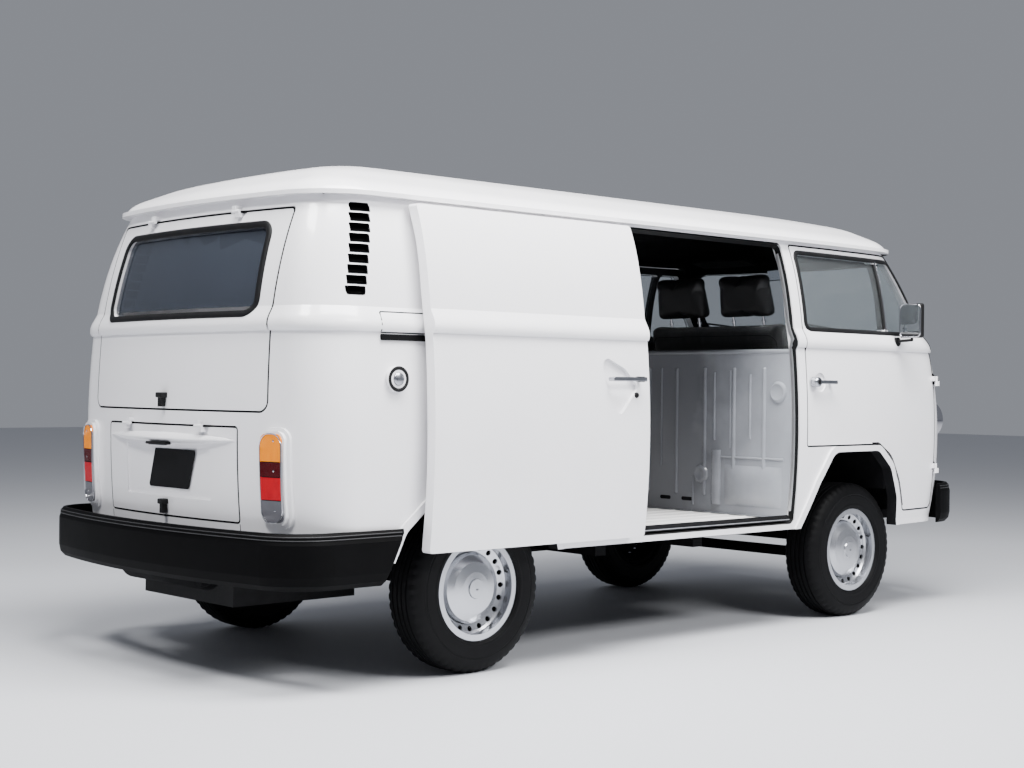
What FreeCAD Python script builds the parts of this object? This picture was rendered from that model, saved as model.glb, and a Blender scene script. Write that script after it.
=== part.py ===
import FreeCAD, Part
import math
import os
from collections import namedtuple

Vector = FreeCAD.Vector

# Panel van with its engine at the back, a half bulkhead behind the cab and a sliding side door.
# Millimetres. +X points forward, +Y to the left, +Z up. The origin is on the ground, at the
# middle of the length between the bumper faces and at the middle of the width.

# Overall sizes
LENGTH = 4505.0
REAR_OVERHANG = 1000.0
WHEELBASE = 2400.0
REAR_AXLE_X = REAR_OVERHANG - LENGTH / 2
FRONT_AXLE_X = REAR_AXLE_X + WHEELBASE
FRONT_TRACK = 1395.0
REAR_TRACK = 1440.0

# Body shell: heights of the lines that run all round it
SILL_Z = 448.0
BELT_Z = 1272.0
WAIST_Z = 1360.0
GUTTER_Z = 1762.0
ROOF_TOP_Z = 1948.0
WALL = 45.0
SHUT_GAP = 8.0
SWING_ROOM = 16.0
FIT = 0.3
BELT_PROUD = 18.0
BELT_LEDGE = 8.0

# Body shell: one row for each height, with the half width, the reach of the nose ahead of the
# front axle and the reach of the tail behind the rear axle
Level = namedtuple("Level", "z half_width nose tail")
LOWER = (
    Level(SILL_Z, 836.0, 945.0, 848.0),
    Level(600.0, 853.0, 975.0, 866.0),
    Level(900.0, 866.0, 985.0, 880.0),
    Level(1100.0, 860.0, 962.0, 876.0),
    Level(BELT_Z, 846.0, 915.0, 866.0),
)
UPPER = (
    Level(WAIST_Z, 831.0, 862.0, 855.0),
    Level(1500.0, 811.0, 765.0, 826.0),
    Level(1640.0, 779.0, 668.0, 784.0),
    Level(GUTTER_Z, 735.0, 578.0, 735.0),
)
NOSE_BOW_R = 1850.0
TAIL_BOW_R = 3600.0
NOSE_CORNER_R = 300.0
TAIL_CORNER_R = 205.0
LEAST_CORNER_R = 140.0
TAPER_X = 1900.0
TAPER_R = 10000.0
TAIL_TAPER = 420.0

# Roof: how far the dome has drawn in at each height above the gutter
GUTTER_PROUD = 40.0
GUTTER_H = 16.0
ROOF_SKIN = 30.0
DOME_PROUD = 24.0
DOME = ((0.0, 0.0), (0.13, 18.0), (0.31, 74.0), (0.52, 160.0), (0.73, 284.0), (0.92, 440.0), (1.0, 575.0))

# Front doors, in side view, measured ahead of the rear axle
DOOR_REAR_X = 1938.0
DOOR_FRONT_X = 3075.0
DOOR_TOP_Z = 1742.0
DOOR_TOP_FRONT_X = 2780.0
DOOR_SHOULDER_X = 3040.0
DOOR_ARCH_Z = 826.0
DOOR_FOOT_Z = 494.0
DOOR_FOOT_X = 2790.0
WINDOW_FOOT_Z = 1366.0
WINDOW_TOP_Z = 1706.0
WINDOW_REAR_X = 1968.0
WINDOW_POST_X = 2632.0
WINDOW_POST_W = 16.0
WINDOW_RIM = 36.0
GLASS_INSET = 14.0
GLASS = 5.0

# Wheel arches, in side view, measured from their own axle
FRONT_ARCH = ((-554.0, 330.0), (-368.0, 650.0), (-260.0, 792.0), (108.0, 792.0), (226.0, 705.0), (302.0, 560.0), (333.0, 330.0))
REAR_ARCH = ((-483.0, 330.0), (-395.0, 556.0), (-215.0, 716.0), (200.0, 716.0), (320.0, 600.0), (413.0, 330.0))
ARCH_R = 75.0
FLARE_W = 32.0
FLARE_PROUD = 11.0
SKIRT_FOOT_Z = 421.0
SKIRT_END_X = 3180.0

# Sliding door, in side view: its place when shut, and how far it has run back
SLIDE_REAR_X = 738.0
SLIDE_FRONT_X = 1866.0
SLIDE_FOOT_Z = 480.0
SLIDE_TOP_Z = 1744.0
SLIDE_RUN = 1072.0
SLIDE_OUT = 74.0
SHIELD = ((532.0, 1185.0), (559.0, 1199.0), (657.0, 1156.0), (729.0, 1083.0), (619.0, 963.0), (530.0, 1123.0))
SHIELD_R = 22.0
SHIELD_DISH = 15.0

# Tail: lifting tailgate above and engine lid below
SEAM_X = -535.0
SEAM_TOP_X = -468.0
TAILGATE_FOOT_Z = 988.0
TAILGATE_TOP_Z = 1712.0
TAILGATE_HALF_FOOT = 606.0
TAILGATE_HALF_TOP = 592.0
REAR_GLASS_FOOT_Z = 1342.0
REAR_GLASS_TOP_Z = 1652.0
REAR_GLASS_HALF_FOOT = 512.0
REAR_GLASS_HALF_TOP = 494.0
LID_FOOT_Z = 588.0
LID_TOP_Z = 924.0
LID_HALF = 452.0
VISOR_Z = 879.0
VISOR_HALF = 436.0
VISOR_SECTIONS = (
    (-1.0, 4.0, 3.0),
    (-0.85, 15.0, 9.0),
    (-0.5, 30.0, 16.0),
    (0.0, 38.0, 19.0),
    (0.5, 30.0, 16.0),
    (0.85, 15.0, 9.0),
    (1.0, 4.0, 3.0),
)
PLATE_HALF = 300.0
PLATE_FOOT_Z = 657.0
PLATE_TOP_Z = 852.0
PLATE_DISH = 7.0
VENTS = 9
VENT_REAR_X = -646.0
VENT_W = 80.0
VENT_LEAN = 68.0
VENT_FOOT_Z = 1400.0
VENT_TOP_Z = 1735.0
VENT_BAR = 7.0

# Windscreen, in front view
SCREEN_FOOT_Z = 1366.0
SCREEN_TOP_Z = 1716.0
SCREEN_HALF_FOOT = 700.0
SCREEN_HALF_TOP = 640.0

# Wheels
TYRE_R = 318.0
TYRE_W = 185.0
RIM_LIP_R = 195.0
RIM_W = 160.0
BEAD_R = 178.0
RIM_T = 6.0
RIM_HOLES = 20
RIM_HOLE_R = 10.5
CAP_R = 135.0
DISC_Y = 22.0
HUB_R = 42.0
HUB_IN = -30.0
STUB_R = 14.0

# Front axle
KINGPIN_Y = 600.0
POST_R = 18.0
POST_HALF = 52.0
EYE_R = 20.0
ARM_R = 15.0
BEAM_R = 26.0
BEAM_LEAD = 140.0
BEAM_SPLIT = 42.0
BEAM_Z = 306.0
BEAM_HALF = 470.0

# Rear suspension and engine
REAR_PIVOT_LEAD = 430.0
REAR_PIVOT_Z = 335.0
REAR_ARM_Y = 578.0
ENGINE_FRONT_X = -215.0
ENGINE_REAR_X = -770.0
ENGINE_FOOT_Z = 262.0
ENGINE_TOP_Z = 640.0
GEARBOX_HALF = 130.0
GEARBOX_FRONT_X = 420.0

# Floors, bulkhead and frame
FLOOR_Z = 486.0
FLOOR_T = 20.0
FOOTWELL_Z = 620.0
BULKHEAD_X = 1914.0
BULKHEAD_TOP_Z = 1262.0
BULKHEAD_T = 14.0
BULKHEAD_RIBS = 8
BULKHEAD_RIB_PITCH = 180.0
DECK_X = 20.0
DECK_Z = 950.0
WHEELHOUSE_Y = 550.0
WHEEL_WALL_Y = 436.0
WHEELHOUSE_Z = 752.0
SEAT_BOX_Z = 838.0
SEAT_BOX_FRONT_X = 2680.0
RAIL_Y = 345.0
RAIL_W = 60.0
RAIL_H = 84.0
RAIL_TOP_Z = FLOOR_Z - FLOOR_T - FIT
RAIL_REAR_X = -760.0
CROSS_MEMBERS = (700.0, 1300.0)
OUTRIGGER_Y = 760.0

# Seats, dashboard and steering wheel
SEAT_FRONT_X = 2640.0
SEAT_REAR_X = 2090.0
CUSHION_TOP_Z = 1010.0
CUSHION_T = 110.0
BACK_H = 440.0
BACK_T = 110.0
SEAT_LEAN = 12.0
HEAD_T = 95.0
HEAD_H = 226.0
HEAD_HALF = 168.0
HEAD_GAP = 8.0
HEAD_STEM_Y = 92.0
DRIVER_Y = 510.0
SEAT_HALF = 215.0
BENCH_RIGHT = -640.0
BENCH_LEFT = 265.0
BENCH_HEADS = (-390.0, 15.0)
DASH_X = 2990.0
DASH_FOOT_Z = 1150.0
DASH_TOP_Z = 1318.0
HOOD_HALF = 172.0
WHEEL_R = 200.0
COLUMN_L = 760.0
COLUMN_LEAN = 28.0
COLUMN_FOOT_X = 3110.0

# Bumpers
BUMPER_FOOT_Z = 375.0
BUMPER_TOP_Z = 572.0
BUMPER_WALL = 30.0
BUMPER_ROOM = 4.0  # from the wheel-arch flares
BUMPER_SECTION = ((0.0, 22.0), (0.09, 6.0), (0.24, 0.0), (0.80, 0.0), (0.87, 5.0), (0.93, 5.0), (1.0, 16.0))
FRONT_BUMPER_LIFT = 38.0
BUMPER_HALF = 882.0
FRONT_BUMPER_END_X = 3120.0
REAR_BUMPER_END_X = -415.0
REAR_BUMPER_END_FOOT_X = -510.0

# Lamps and the grille on the nose
TAIL_LAMP_Y = 655.0
TAIL_LAMP_HALF = 60.0
TAIL_LAMP_FOOT_Z = 590.0
TAIL_LAMP_TOP_Z = 918.0
TAIL_LAMP_CLEAR_Z = 677.0
TAIL_LAMP_REFLECTOR_Z = 758.0
TAIL_LAMP_AMBER_Z = 811.0
TAIL_LAMP_PROUD = 20.0
TAIL_LAMP_SEAT_W = 13.0
TAIL_LAMP_SEAT_PROUD = 9.0
HEADLAMP_Y = 560.0
HEADLAMP_Z = 930.0
HEADLAMP_R = 105.0
HEADLAMP_GLASS_R = 88.0
HEADLAMP_FACE = 958.0
HEADLAMP_BULGE_R = 290.0
GRILLE_HALF = 480.0
GRILLE_FOOT_Z = 1150.0
GRILLE_TOP_Z = 1255.0
GRILLE_SLOTS = 6

# Hinges
HINGE_R = 7.0
HINGE_LEN = 24.0
HINGE_OUT = 10.0
DOOR_HINGE_OUT = 5.0
HINGE_LEAF = 22.0
HINGE_FOOT = 40.0
DOOR_HINGE_Z = (690.0, 1130.0)
TAILGATE_HINGE_Y = 300.0
LID_HINGE_Y = 260.0

# Fittings
DOOR_HANDLE_X = 2036.0
DOOR_HANDLE_HALF = 82.0
DOOR_HANDLE_Z = 1116.0
HANDLE_DISH_R = 43.0
HANDLE_DISH = 9.0
MIRROR_X = 2700.0
MIRROR_Y = 815.0
MIRROR_Z = 1318.0
MIRROR_HEAD_Y = 906.0
MIRROR_HEAD_Z = 1420.0
MIRROR_HALF_W = 62.0
MIRROR_HALF_H = 84.0
FUEL_CAP_X = -453.0
FUEL_CAP_Y = 876.0
FUEL_CAP_Z = 1105.0
FUEL_CAP_R = 47.0
TRACK_Z = 1242.0
TRACK_H = 22.0
TRACK_PROUD = 7.0
TRACK_REAR_X = -516.0
ARM_W = 26.0
SLIDE_HANDLE_BACK = 147.0
SLIDE_HANDLE_HALF = 96.0
SLIDE_HANDLE_Z = 1116.0
LOCK_H = 54.0
LOCK_W = 40.0
LOCK_PROUD = 30.0

BIG = 4000.0


def rear_x(x):
    """Turns a place measured ahead of the rear axle into the model's own x."""
    return REAR_AXLE_X + x


def mirrored(shape):
    """The same shape on the other side of the van."""
    return shape.mirror(Vector(0, 0, 0), Vector(0, 1, 0))


def box(x0, x1, y0, y1, z0, z1):
    return Part.makeBox(x1 - x0, y1 - y0, z1 - z0, Vector(x0, y0, z0))


def cylinder(radius, start, end):
    axis = end - start
    return Part.makeCylinder(radius, axis.Length, start, axis)


def solids_of(shape):
    """The shape's solids as one compound, or the solid itself where there is only one."""
    found = shape.Solids
    return found[0] if len(found) == 1 else Part.makeCompound(found)


def rounded(points, radius):
    """Closed flat wire through the points, its corners rounded as far as their sides allow."""
    count = len(points)
    radii = radius if isinstance(radius, (list, tuple)) else [radius] * count
    corners = []
    for i, here in enumerate(points):
        before = points[i - 1] - here
        after = points[(i + 1) % count] - here
        half_turn = before.getAngle(after) / 2
        reach = min(radii[i] / math.tan(half_turn), 0.49 * before.Length, 0.49 * after.Length)
        real_r = reach * math.tan(half_turn)
        before.normalize()
        after.normalize()
        middle = before + after
        middle.normalize()
        centre = here + middle * (real_r / math.sin(half_turn))
        corners.append((here + before * reach, centre - middle * real_r, here + after * reach))
    edges = []
    for i, (start, middle, end) in enumerate(corners):
        if (start - end).Length > 0.01:
            edges.append(Part.Arc(start, middle, end).toShape())
        following = corners[(i + 1) % count][0]
        if (end - following).Length > 0.01:
            edges.append(Part.LineSegment(end, following).toShape())
    return Part.Wire(edges)


def side_prism(outline, radius, side, grow=0.0, inner=420.0, outer=1100.0):
    """Solid that stands out sideways from an outline of (x, z) pairs. Side is 1 for the left."""
    wire = rounded([Vector(x, 0, z) for x, z in outline], radius)
    if grow:
        wire = wire.makeOffset2D(grow)
    face = Part.Face(wire)
    face.translate(Vector(0, side * inner, 0))
    return face.extrude(Vector(0, side * (outer - inner), 0))


def across(outline):
    """Solid that runs right across the van from an outline of (x, z) pairs with sharp corners."""
    points = [Vector(x, -BIG, z) for x, z in outline]
    return Part.Face(Part.makePolygon(points + points[:1])).extrude(Vector(0, 2 * BIG, 0))


def end_prism(outline, radius, x0, x1, grow=0.0):
    """Solid that runs lengthways from an outline of (y, z) pairs."""
    wire = rounded([Vector(0, y, z) for y, z in outline], radius)
    if grow:
        wire = wire.makeOffset2D(grow)
    face = Part.Face(wire)
    face.translate(Vector(x0, 0, 0))
    return face.extrude(Vector(x1 - x0, 0, 0))


def plan_end(way, reach, bow_r, corner_r, side_x, half_width, side_r):
    """Half of one end of the outline from above, from the middle of the bow to the flank.

    The bow, the corner and the drawn in side are arcs that meet without a kink.
    """
    bow = Vector(reach - way * bow_r, 0, 0)
    side = Vector(side_x, half_width - side_r, 0)
    across = side - bow
    gap = across.Length
    near, far = bow_r - corner_r, side_r - corner_r
    along = (near**2 - far**2 + gap**2) / (2 * gap)
    off = math.sqrt(near**2 - along**2)
    across.normalize()
    corner = bow + across * along + Vector(-across.y, across.x, 0) * (way * off)
    bow_end = bow + (corner - bow) * (bow_r / near)
    side_start = side + (corner - side) * (side_r / far)
    turn = (bow_end - corner) + (side_start - corner)
    turn.normalize()
    sweep = (side_start - side) + Vector(0, side_r, 0)
    sweep.normalize()
    return {
        "reach": Vector(reach, 0, 0),
        "bow_end": bow_end,
        "corner": corner + turn * corner_r,
        "side_start": side_start,
        "side": side + sweep * side_r,
        "flank": Vector(side_x, half_width, 0),
    }


def plan_wire(level, grow=0.0):
    """Closed outline of the body from above at one height, grown outwards by a distance."""
    half_width = level.half_width + grow
    nose_x = FRONT_AXLE_X + level.nose + grow
    tail_x = REAR_AXLE_X - level.tail - grow
    nose_corner_r = max(NOSE_CORNER_R + grow, LEAST_CORNER_R)
    tail_corner_r = max(TAIL_CORNER_R + grow, LEAST_CORNER_R)
    taper_x = rear_x(TAPER_X)
    nose = plan_end(1, nose_x, NOSE_BOW_R + grow, nose_corner_r, taper_x, half_width, TAPER_R + grow)
    tail_side_x = tail_x + TAIL_TAPER + grow
    tail = plan_end(-1, tail_x, TAIL_BOW_R + grow, tail_corner_r, tail_side_x, half_width, TAPER_R + grow)

    def at(point, side=1):
        return Vector(point.x, side * point.y, level.z)

    def half_end(end, side):
        arcs = (("bow_end", "corner", "side_start"), ("side_start", "side", "flank"))
        return [Part.Arc(*(at(end[k], side) for k in names)).toShape() for names in arcs]

    def bow(end):
        return Part.Arc(at(end["bow_end"], -1), at(end["reach"]), at(end["bow_end"])).toShape()

    flanks = [Part.LineSegment(at(nose["flank"], s), at(tail["flank"], s)).toShape() for s in (1, -1)]
    nose_left, nose_right = half_end(nose, 1), half_end(nose, -1)
    tail_left, tail_right = half_end(tail, 1), half_end(tail, -1)
    edges = [bow(nose), *nose_left, flanks[0], *tail_left[::-1], bow(tail), *tail_right, flanks[1]]
    return Part.Wire(edges + nose_right[::-1])


def between(low, high, z):
    """The level at height z on the straight line between two levels."""
    share = (z - low.z) / (high.z - low.z)
    return Level(z, *(a + share * (b - a) for a, b in zip(low[1:], high[1:])))


def level_at(z):
    """The body's level at height z, straight between the levels given above."""
    levels = LOWER + UPPER
    for low, high in zip(levels, levels[1:]):
        if z <= high.z:
            return between(low, high, z)
    return levels[-1]


def loft(levels, grows, straight=False):
    """Solid through the body's outline at each level, smooth upwards unless straight."""
    return Part.makeLoft([plan_wire(l, g) for l, g in zip(levels, grows)], True, straight)


def body_solid(grow=0.0, belt=True):
    """The body as if it were solid up to the gutter, grown by a distance."""
    lower = loft(LOWER, [grow] * len(LOWER))
    upper = loft(UPPER, [grow] * len(UPPER))
    shares = ((0.0, BELT_LEDGE), (0.12, 0.8 * BELT_PROUD), (0.35, BELT_PROUD), (0.68, 0.62 * BELT_PROUD), (1.0, 0.0))
    height = WAIST_Z - BELT_Z
    levels = [between(LOWER[-1], UPPER[0], BELT_Z + s * height) for s, _ in shares]
    proud = [grow + (p if belt else 0.0) for _, p in shares]
    return lower.fuse([loft(levels, proud), upper])


def cabin_solid(margin=0.0):
    """The hollow of the body less a margin, which runs on past the sill and the gutter."""
    low, high = LOWER[0], UPPER[-1]
    levels = [low._replace(z=low.z - 30.0), *LOWER[1:], *UPPER[:-1], high._replace(z=high.z + 1.0)]
    return loft(levels, [-WALL - margin] * len(levels))


def pane_layer():
    """Thin layer in the depth of the upper walls, from which the panes are cut."""
    outer = loft(UPPER, [-GLASS_INSET] * len(UPPER))
    return outer.cut(loft(UPPER, [-GLASS_INSET - GLASS] * len(UPPER)))


# Outlines of the openings, in side view and in end view
def door_outline():
    return [
        (rear_x(DOOR_REAR_X), DOOR_ARCH_Z),
        (rear_x(2520.0), DOOR_ARCH_Z),
        (rear_x(2640.0), 762.0),
        (rear_x(2728.0), 640.0),
        (rear_x(DOOR_FOOT_X), DOOR_FOOT_Z),
        (rear_x(DOOR_FRONT_X), DOOR_FOOT_Z),
        (rear_x(DOOR_FRONT_X), 1262.0),
        (rear_x(DOOR_SHOULDER_X), WAIST_Z),
        (rear_x(DOOR_TOP_FRONT_X), DOOR_TOP_Z),
        (rear_x(DOOR_REAR_X), DOOR_TOP_Z),
    ]


DOOR_RADII = [6.0, 60.0, 150.0, 200.0, 22.0, 30.0, 60.0, 60.0, 24.0, 10.0]


def window_outlines():
    """The main pane and the quarter light of a front door, which share a slim post."""
    slope = (DOOR_TOP_FRONT_X - DOOR_SHOULDER_X) / (DOOR_TOP_Z - WAIST_Z)
    rim = WINDOW_RIM * math.hypot(1.0, slope)
    foot = DOOR_SHOULDER_X - rim + slope * (WINDOW_FOOT_Z - WAIST_Z)
    top = DOOR_SHOULDER_X - rim + slope * (WINDOW_TOP_Z - WAIST_Z)
    half = WINDOW_POST_W / 2
    main = [
        (rear_x(WINDOW_REAR_X), WINDOW_FOOT_Z),
        (rear_x(WINDOW_POST_X - half), WINDOW_FOOT_Z),
        (rear_x(WINDOW_POST_X - half), WINDOW_TOP_Z),
        (rear_x(WINDOW_REAR_X), WINDOW_TOP_Z),
    ]
    quarter = [
        (rear_x(WINDOW_POST_X + half), WINDOW_FOOT_Z),
        (rear_x(foot), WINDOW_FOOT_Z),
        (rear_x(top), WINDOW_TOP_Z),
        (rear_x(WINDOW_POST_X + half), WINDOW_TOP_Z),
    ]
    return main, quarter


def trapezium(half_foot, half_top, foot_z, top_z):
    return [(-half_foot, foot_z), (half_foot, foot_z), (half_top, top_z), (-half_top, top_z)]


def tailgate_outline():
    return trapezium(TAILGATE_HALF_FOOT, TAILGATE_HALF_TOP, TAILGATE_FOOT_Z, TAILGATE_TOP_Z)


def rear_glass_outline():
    return trapezium(REAR_GLASS_HALF_FOOT, REAR_GLASS_HALF_TOP, REAR_GLASS_FOOT_Z, REAR_GLASS_TOP_Z)


def lid_outline():
    return trapezium(LID_HALF, LID_HALF, LID_FOOT_Z, LID_TOP_Z)


def screen_outline():
    return trapezium(SCREEN_HALF_FOOT, SCREEN_HALF_TOP, SCREEN_FOOT_Z, SCREEN_TOP_Z)


TAILGATE_RADII = [38.0, 38.0, 12.0, 12.0]
REAR_GLASS_R = 42.0
LID_R = 10.0
SCREEN_R = 90.0
NOSE_CUT_X = FRONT_AXLE_X + 300.0
TAIL_CUT_X = rear_x(SEAM_X)


def slide_outline():
    return [
        (rear_x(SLIDE_REAR_X), SLIDE_FOOT_Z),
        (rear_x(SLIDE_FRONT_X), SLIDE_FOOT_Z),
        (rear_x(SLIDE_FRONT_X), SLIDE_TOP_Z),
        (rear_x(SLIDE_REAR_X), SLIDE_TOP_Z),
    ]


SLIDE_R = 14.0


def arch_prism(axle_x, points, side, grow=0.0):
    return side_prism([(axle_x + x, z) for x, z in points], ARCH_R, side, grow)


def vent_slots(side):
    """The row of slots high on each rear corner, which leans forward, one prism for each slot."""
    pitch = (VENT_TOP_Z - VENT_FOOT_Z + VENT_BAR) / VENTS
    slots = []
    for i in range(VENTS):
        foot = VENT_FOOT_Z + i * pitch
        top = foot + pitch - VENT_BAR
        rear_r = 20.0 if i in (0, VENTS - 1) else 4.0
        radii = [rear_r if i == 0 else 4.0, 4.0, 4.0, rear_r if i == VENTS - 1 else 4.0]
        x = rear_x(VENT_REAR_X) + VENT_LEAN * i / (VENTS - 1)
        corners = [(x, foot), (x + VENT_W, foot), (x + VENT_W, top), (x, top)]
        slots.append(side_prism(corners, radii, side))
    return slots


def skirt():
    """Strips that bring the lower edge down from the front wheel arches into the bumper's ends."""
    low = LOWER[0]
    levels = [low._replace(z=SKIRT_FOOT_Z), low]
    tall = [low._replace(z=SKIRT_FOOT_Z - 1.0), low._replace(z=low.z + 1.0)]
    band = arch_prism(FRONT_AXLE_X, FRONT_ARCH, 1, FLARE_W).common(loft(levels, [FLARE_PROUD] * 2))
    strip = loft(levels, [0.0] * 2).fuse(band).cut(loft(tall, [-WALL] * 2))
    strip = strip.common(box(FRONT_AXLE_X, rear_x(SKIRT_END_X), 0, BIG, 0, low.z))
    return both_sides(strip).Solids


def build_shell():
    """The walls between the sill and the gutter, cut into the real panels."""
    walls = body_solid().cut(cabin_solid()).fuse(skirt())
    doors = {s: side_prism(door_outline(), DOOR_RADII, s) for s in (1, -1)}
    panels = {}
    openings = []
    for side, hand in ((1, "left"), (-1, "right")):
        panels[f"door_{hand}"] = walls.common(doors[side])
        openings.append(side_prism(door_outline(), DOOR_RADII, side, SHUT_GAP))
        openings.append(arch_prism(FRONT_AXLE_X, FRONT_ARCH, side))
        openings.append(arch_prism(REAR_AXLE_X, REAR_ARCH, side))
        openings += vent_slots(side)
    slide = side_prism(slide_outline(), SLIDE_R, -1)
    panels["sliding_door"] = walls.common(slide)
    openings.append(side_prism(slide_outline(), SLIDE_R, -1, SHUT_GAP))
    tail = rear_x(-1200.0)
    gate = end_prism(tailgate_outline(), TAILGATE_RADII, tail, TAIL_CUT_X)
    lid = end_prism(lid_outline(), LID_R, tail, TAIL_CUT_X)
    panels["tailgate"] = walls.common(gate)
    panels["engine_lid"] = walls.common(lid)
    openings.append(end_prism(tailgate_outline(), TAILGATE_RADII, tail, TAIL_CUT_X, SHUT_GAP))
    openings.append(end_prism(lid_outline(), LID_R, tail, TAIL_CUT_X, SHUT_GAP))
    openings.append(end_prism(screen_outline(), SCREEN_R, NOSE_CUT_X, FRONT_AXLE_X + 1200.0))
    fixed = walls.cut(openings)
    windows = {}
    for side, hand in ((1, "left"), (-1, "right")):
        cuts = [side_prism(o, 22.0, side) for o in window_outlines()]
        panels[f"door_{hand}"] = panels[f"door_{hand}"].cut(cuts)
        windows[f"door_glass_{hand}"] = [side_prism(o, 22.0, side, -FIT) for o in window_outlines()]
    rear_cut = end_prism(rear_glass_outline(), REAR_GLASS_R, tail, TAIL_CUT_X)
    panels["tailgate"] = panels["tailgate"].cut(rear_cut)
    windows["tailgate_glass"] = [end_prism(rear_glass_outline(), REAR_GLASS_R, tail, TAIL_CUT_X, -FIT)]
    windows["windscreen"] = [
        end_prism(screen_outline(), SCREEN_R, NOSE_CUT_X, FRONT_AXLE_X + 1200.0, -FIT)
    ]
    layer = pane_layer()
    for name, prisms in windows.items():
        panels[name] = Part.makeCompound([s for p in prisms for s in layer.common(p).Solids])
    return fixed, panels


def split_fixed(fixed):
    """Cuts the standing walls where the real panels meet."""
    post_x = rear_x((DOOR_REAR_X + SLIDE_REAR_X) / 2)
    seam_x = rear_x(SEAM_X)
    nose_x = rear_x(DOOR_FRONT_X) + SHUT_GAP / 2
    seam = [(seam_x, 0.0), (seam_x, WAIST_Z), (rear_x(SEAM_TOP_X), GUTTER_Z), (rear_x(SEAM_TOP_X), BIG)]
    tail = across([*seam, (-BIG, BIG), (-BIG, 0.0)])
    sides = fixed.cut(tail)
    parts = {
        "tail_frame": fixed.common(tail),
        "side_panel_left": sides.common(box(-BIG, rear_x(DOOR_REAR_X), 0, BIG, 0, BIG)),
        "side_panel_right": sides.common(box(-BIG, rear_x(SLIDE_REAR_X), -BIG, 0, 0, BIG)),
        "side_frame_right": fixed.common(
            box(rear_x(SLIDE_REAR_X), rear_x(DOOR_REAR_X), -BIG, 0, 0, BIG)
        ),
        "windscreen_frame": fixed.common(box(rear_x(DOOR_REAR_X), BIG, -BIG, BIG, WAIST_Z, BIG)),
    }
    front = fixed.common(box(rear_x(DOOR_REAR_X), BIG, -BIG, BIG, 0, WAIST_Z))
    for side, hand in ((1, "left"), (-1, "right")):
        strip = box(rear_x(DOOR_REAR_X), nose_x, min(0, side * BIG), max(0, side * BIG), 0, WAIST_Z)
        parts[f"arch_panel_{hand}"] = front.common(strip)
    parts["nose_panel"] = front.common(box(nose_x, BIG, -BIG, BIG, 0, WAIST_Z))
    return parts


def build_roof():
    """Dome and gutter in one pressing, open below."""
    top = UPPER[-1]

    def dome(skin):
        height = ROOF_TOP_Z - GUTTER_Z - GUTTER_H
        levels = [top._replace(z=GUTTER_Z + GUTTER_H + s * height - skin) for s, _ in DOME]
        return loft(levels, [DOME_PROUD - inset - skin for _, inset in DOME])

    gutter = loft([top, top._replace(z=GUTTER_Z + GUTTER_H)], [GUTTER_PROUD] * 2)
    hole = loft([top._replace(z=GUTTER_Z - 1.0), top._replace(z=GUTTER_Z + GUTTER_H + 1.0)], [-WALL] * 2)
    return dome(0.0).cut(dome(ROOF_SKIN)).fuse(gutter.cut(hole))


def proud_layer(inner, outer):
    """Skin that lies over the lower body between two distances from its surface."""
    return loft(LOWER, [outer] * len(LOWER)).cut(loft(LOWER, [inner] * len(LOWER)))


def arch_flare(axle_x, points, side):
    ring = arch_prism(axle_x, points, side, FLARE_W).cut(arch_prism(axle_x, points, side))
    return ring.common(proud_layer(0.0, FLARE_PROUD))


# Wheels: each is drawn about the Y axis at the origin, with its outer face towards +Y
def revolved(points):
    """Solid turned about the Y axis from (radius, y) pairs."""
    wire = Part.makePolygon([Vector(r, y, 0) for r, y in points + points[:1]])
    return Part.Face(wire).revolve(Vector(0, 0, 0), Vector(0, 1, 0), 360)


def make_tyre():
    half = TYRE_W / 2
    shoulder = TYRE_R - 9.0
    profile = [
        (BEAD_R + 2 * FIT, -RIM_W / 2 + RIM_T + 4.0),
        (RIM_LIP_R + FIT, -RIM_W / 2 + RIM_T + 4.0),
        (RIM_LIP_R + FIT, -half + 8.0),
        (RIM_LIP_R + 45.0, -half),
        (shoulder - 30.0, -half + 2.0),
        (shoulder, -half + 14.0),
        (TYRE_R, -half + 34.0),
        (TYRE_R, half - 34.0),
        (shoulder, half - 14.0),
        (shoulder - 30.0, half - 2.0),
        (RIM_LIP_R + 45.0, half),
        (RIM_LIP_R + FIT, half - 8.0),
        (RIM_LIP_R + FIT, RIM_W / 2 - RIM_T - 4.0),
        (BEAD_R + 2 * FIT, RIM_W / 2 - RIM_T - 4.0),
    ]
    return revolved(profile)


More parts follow.
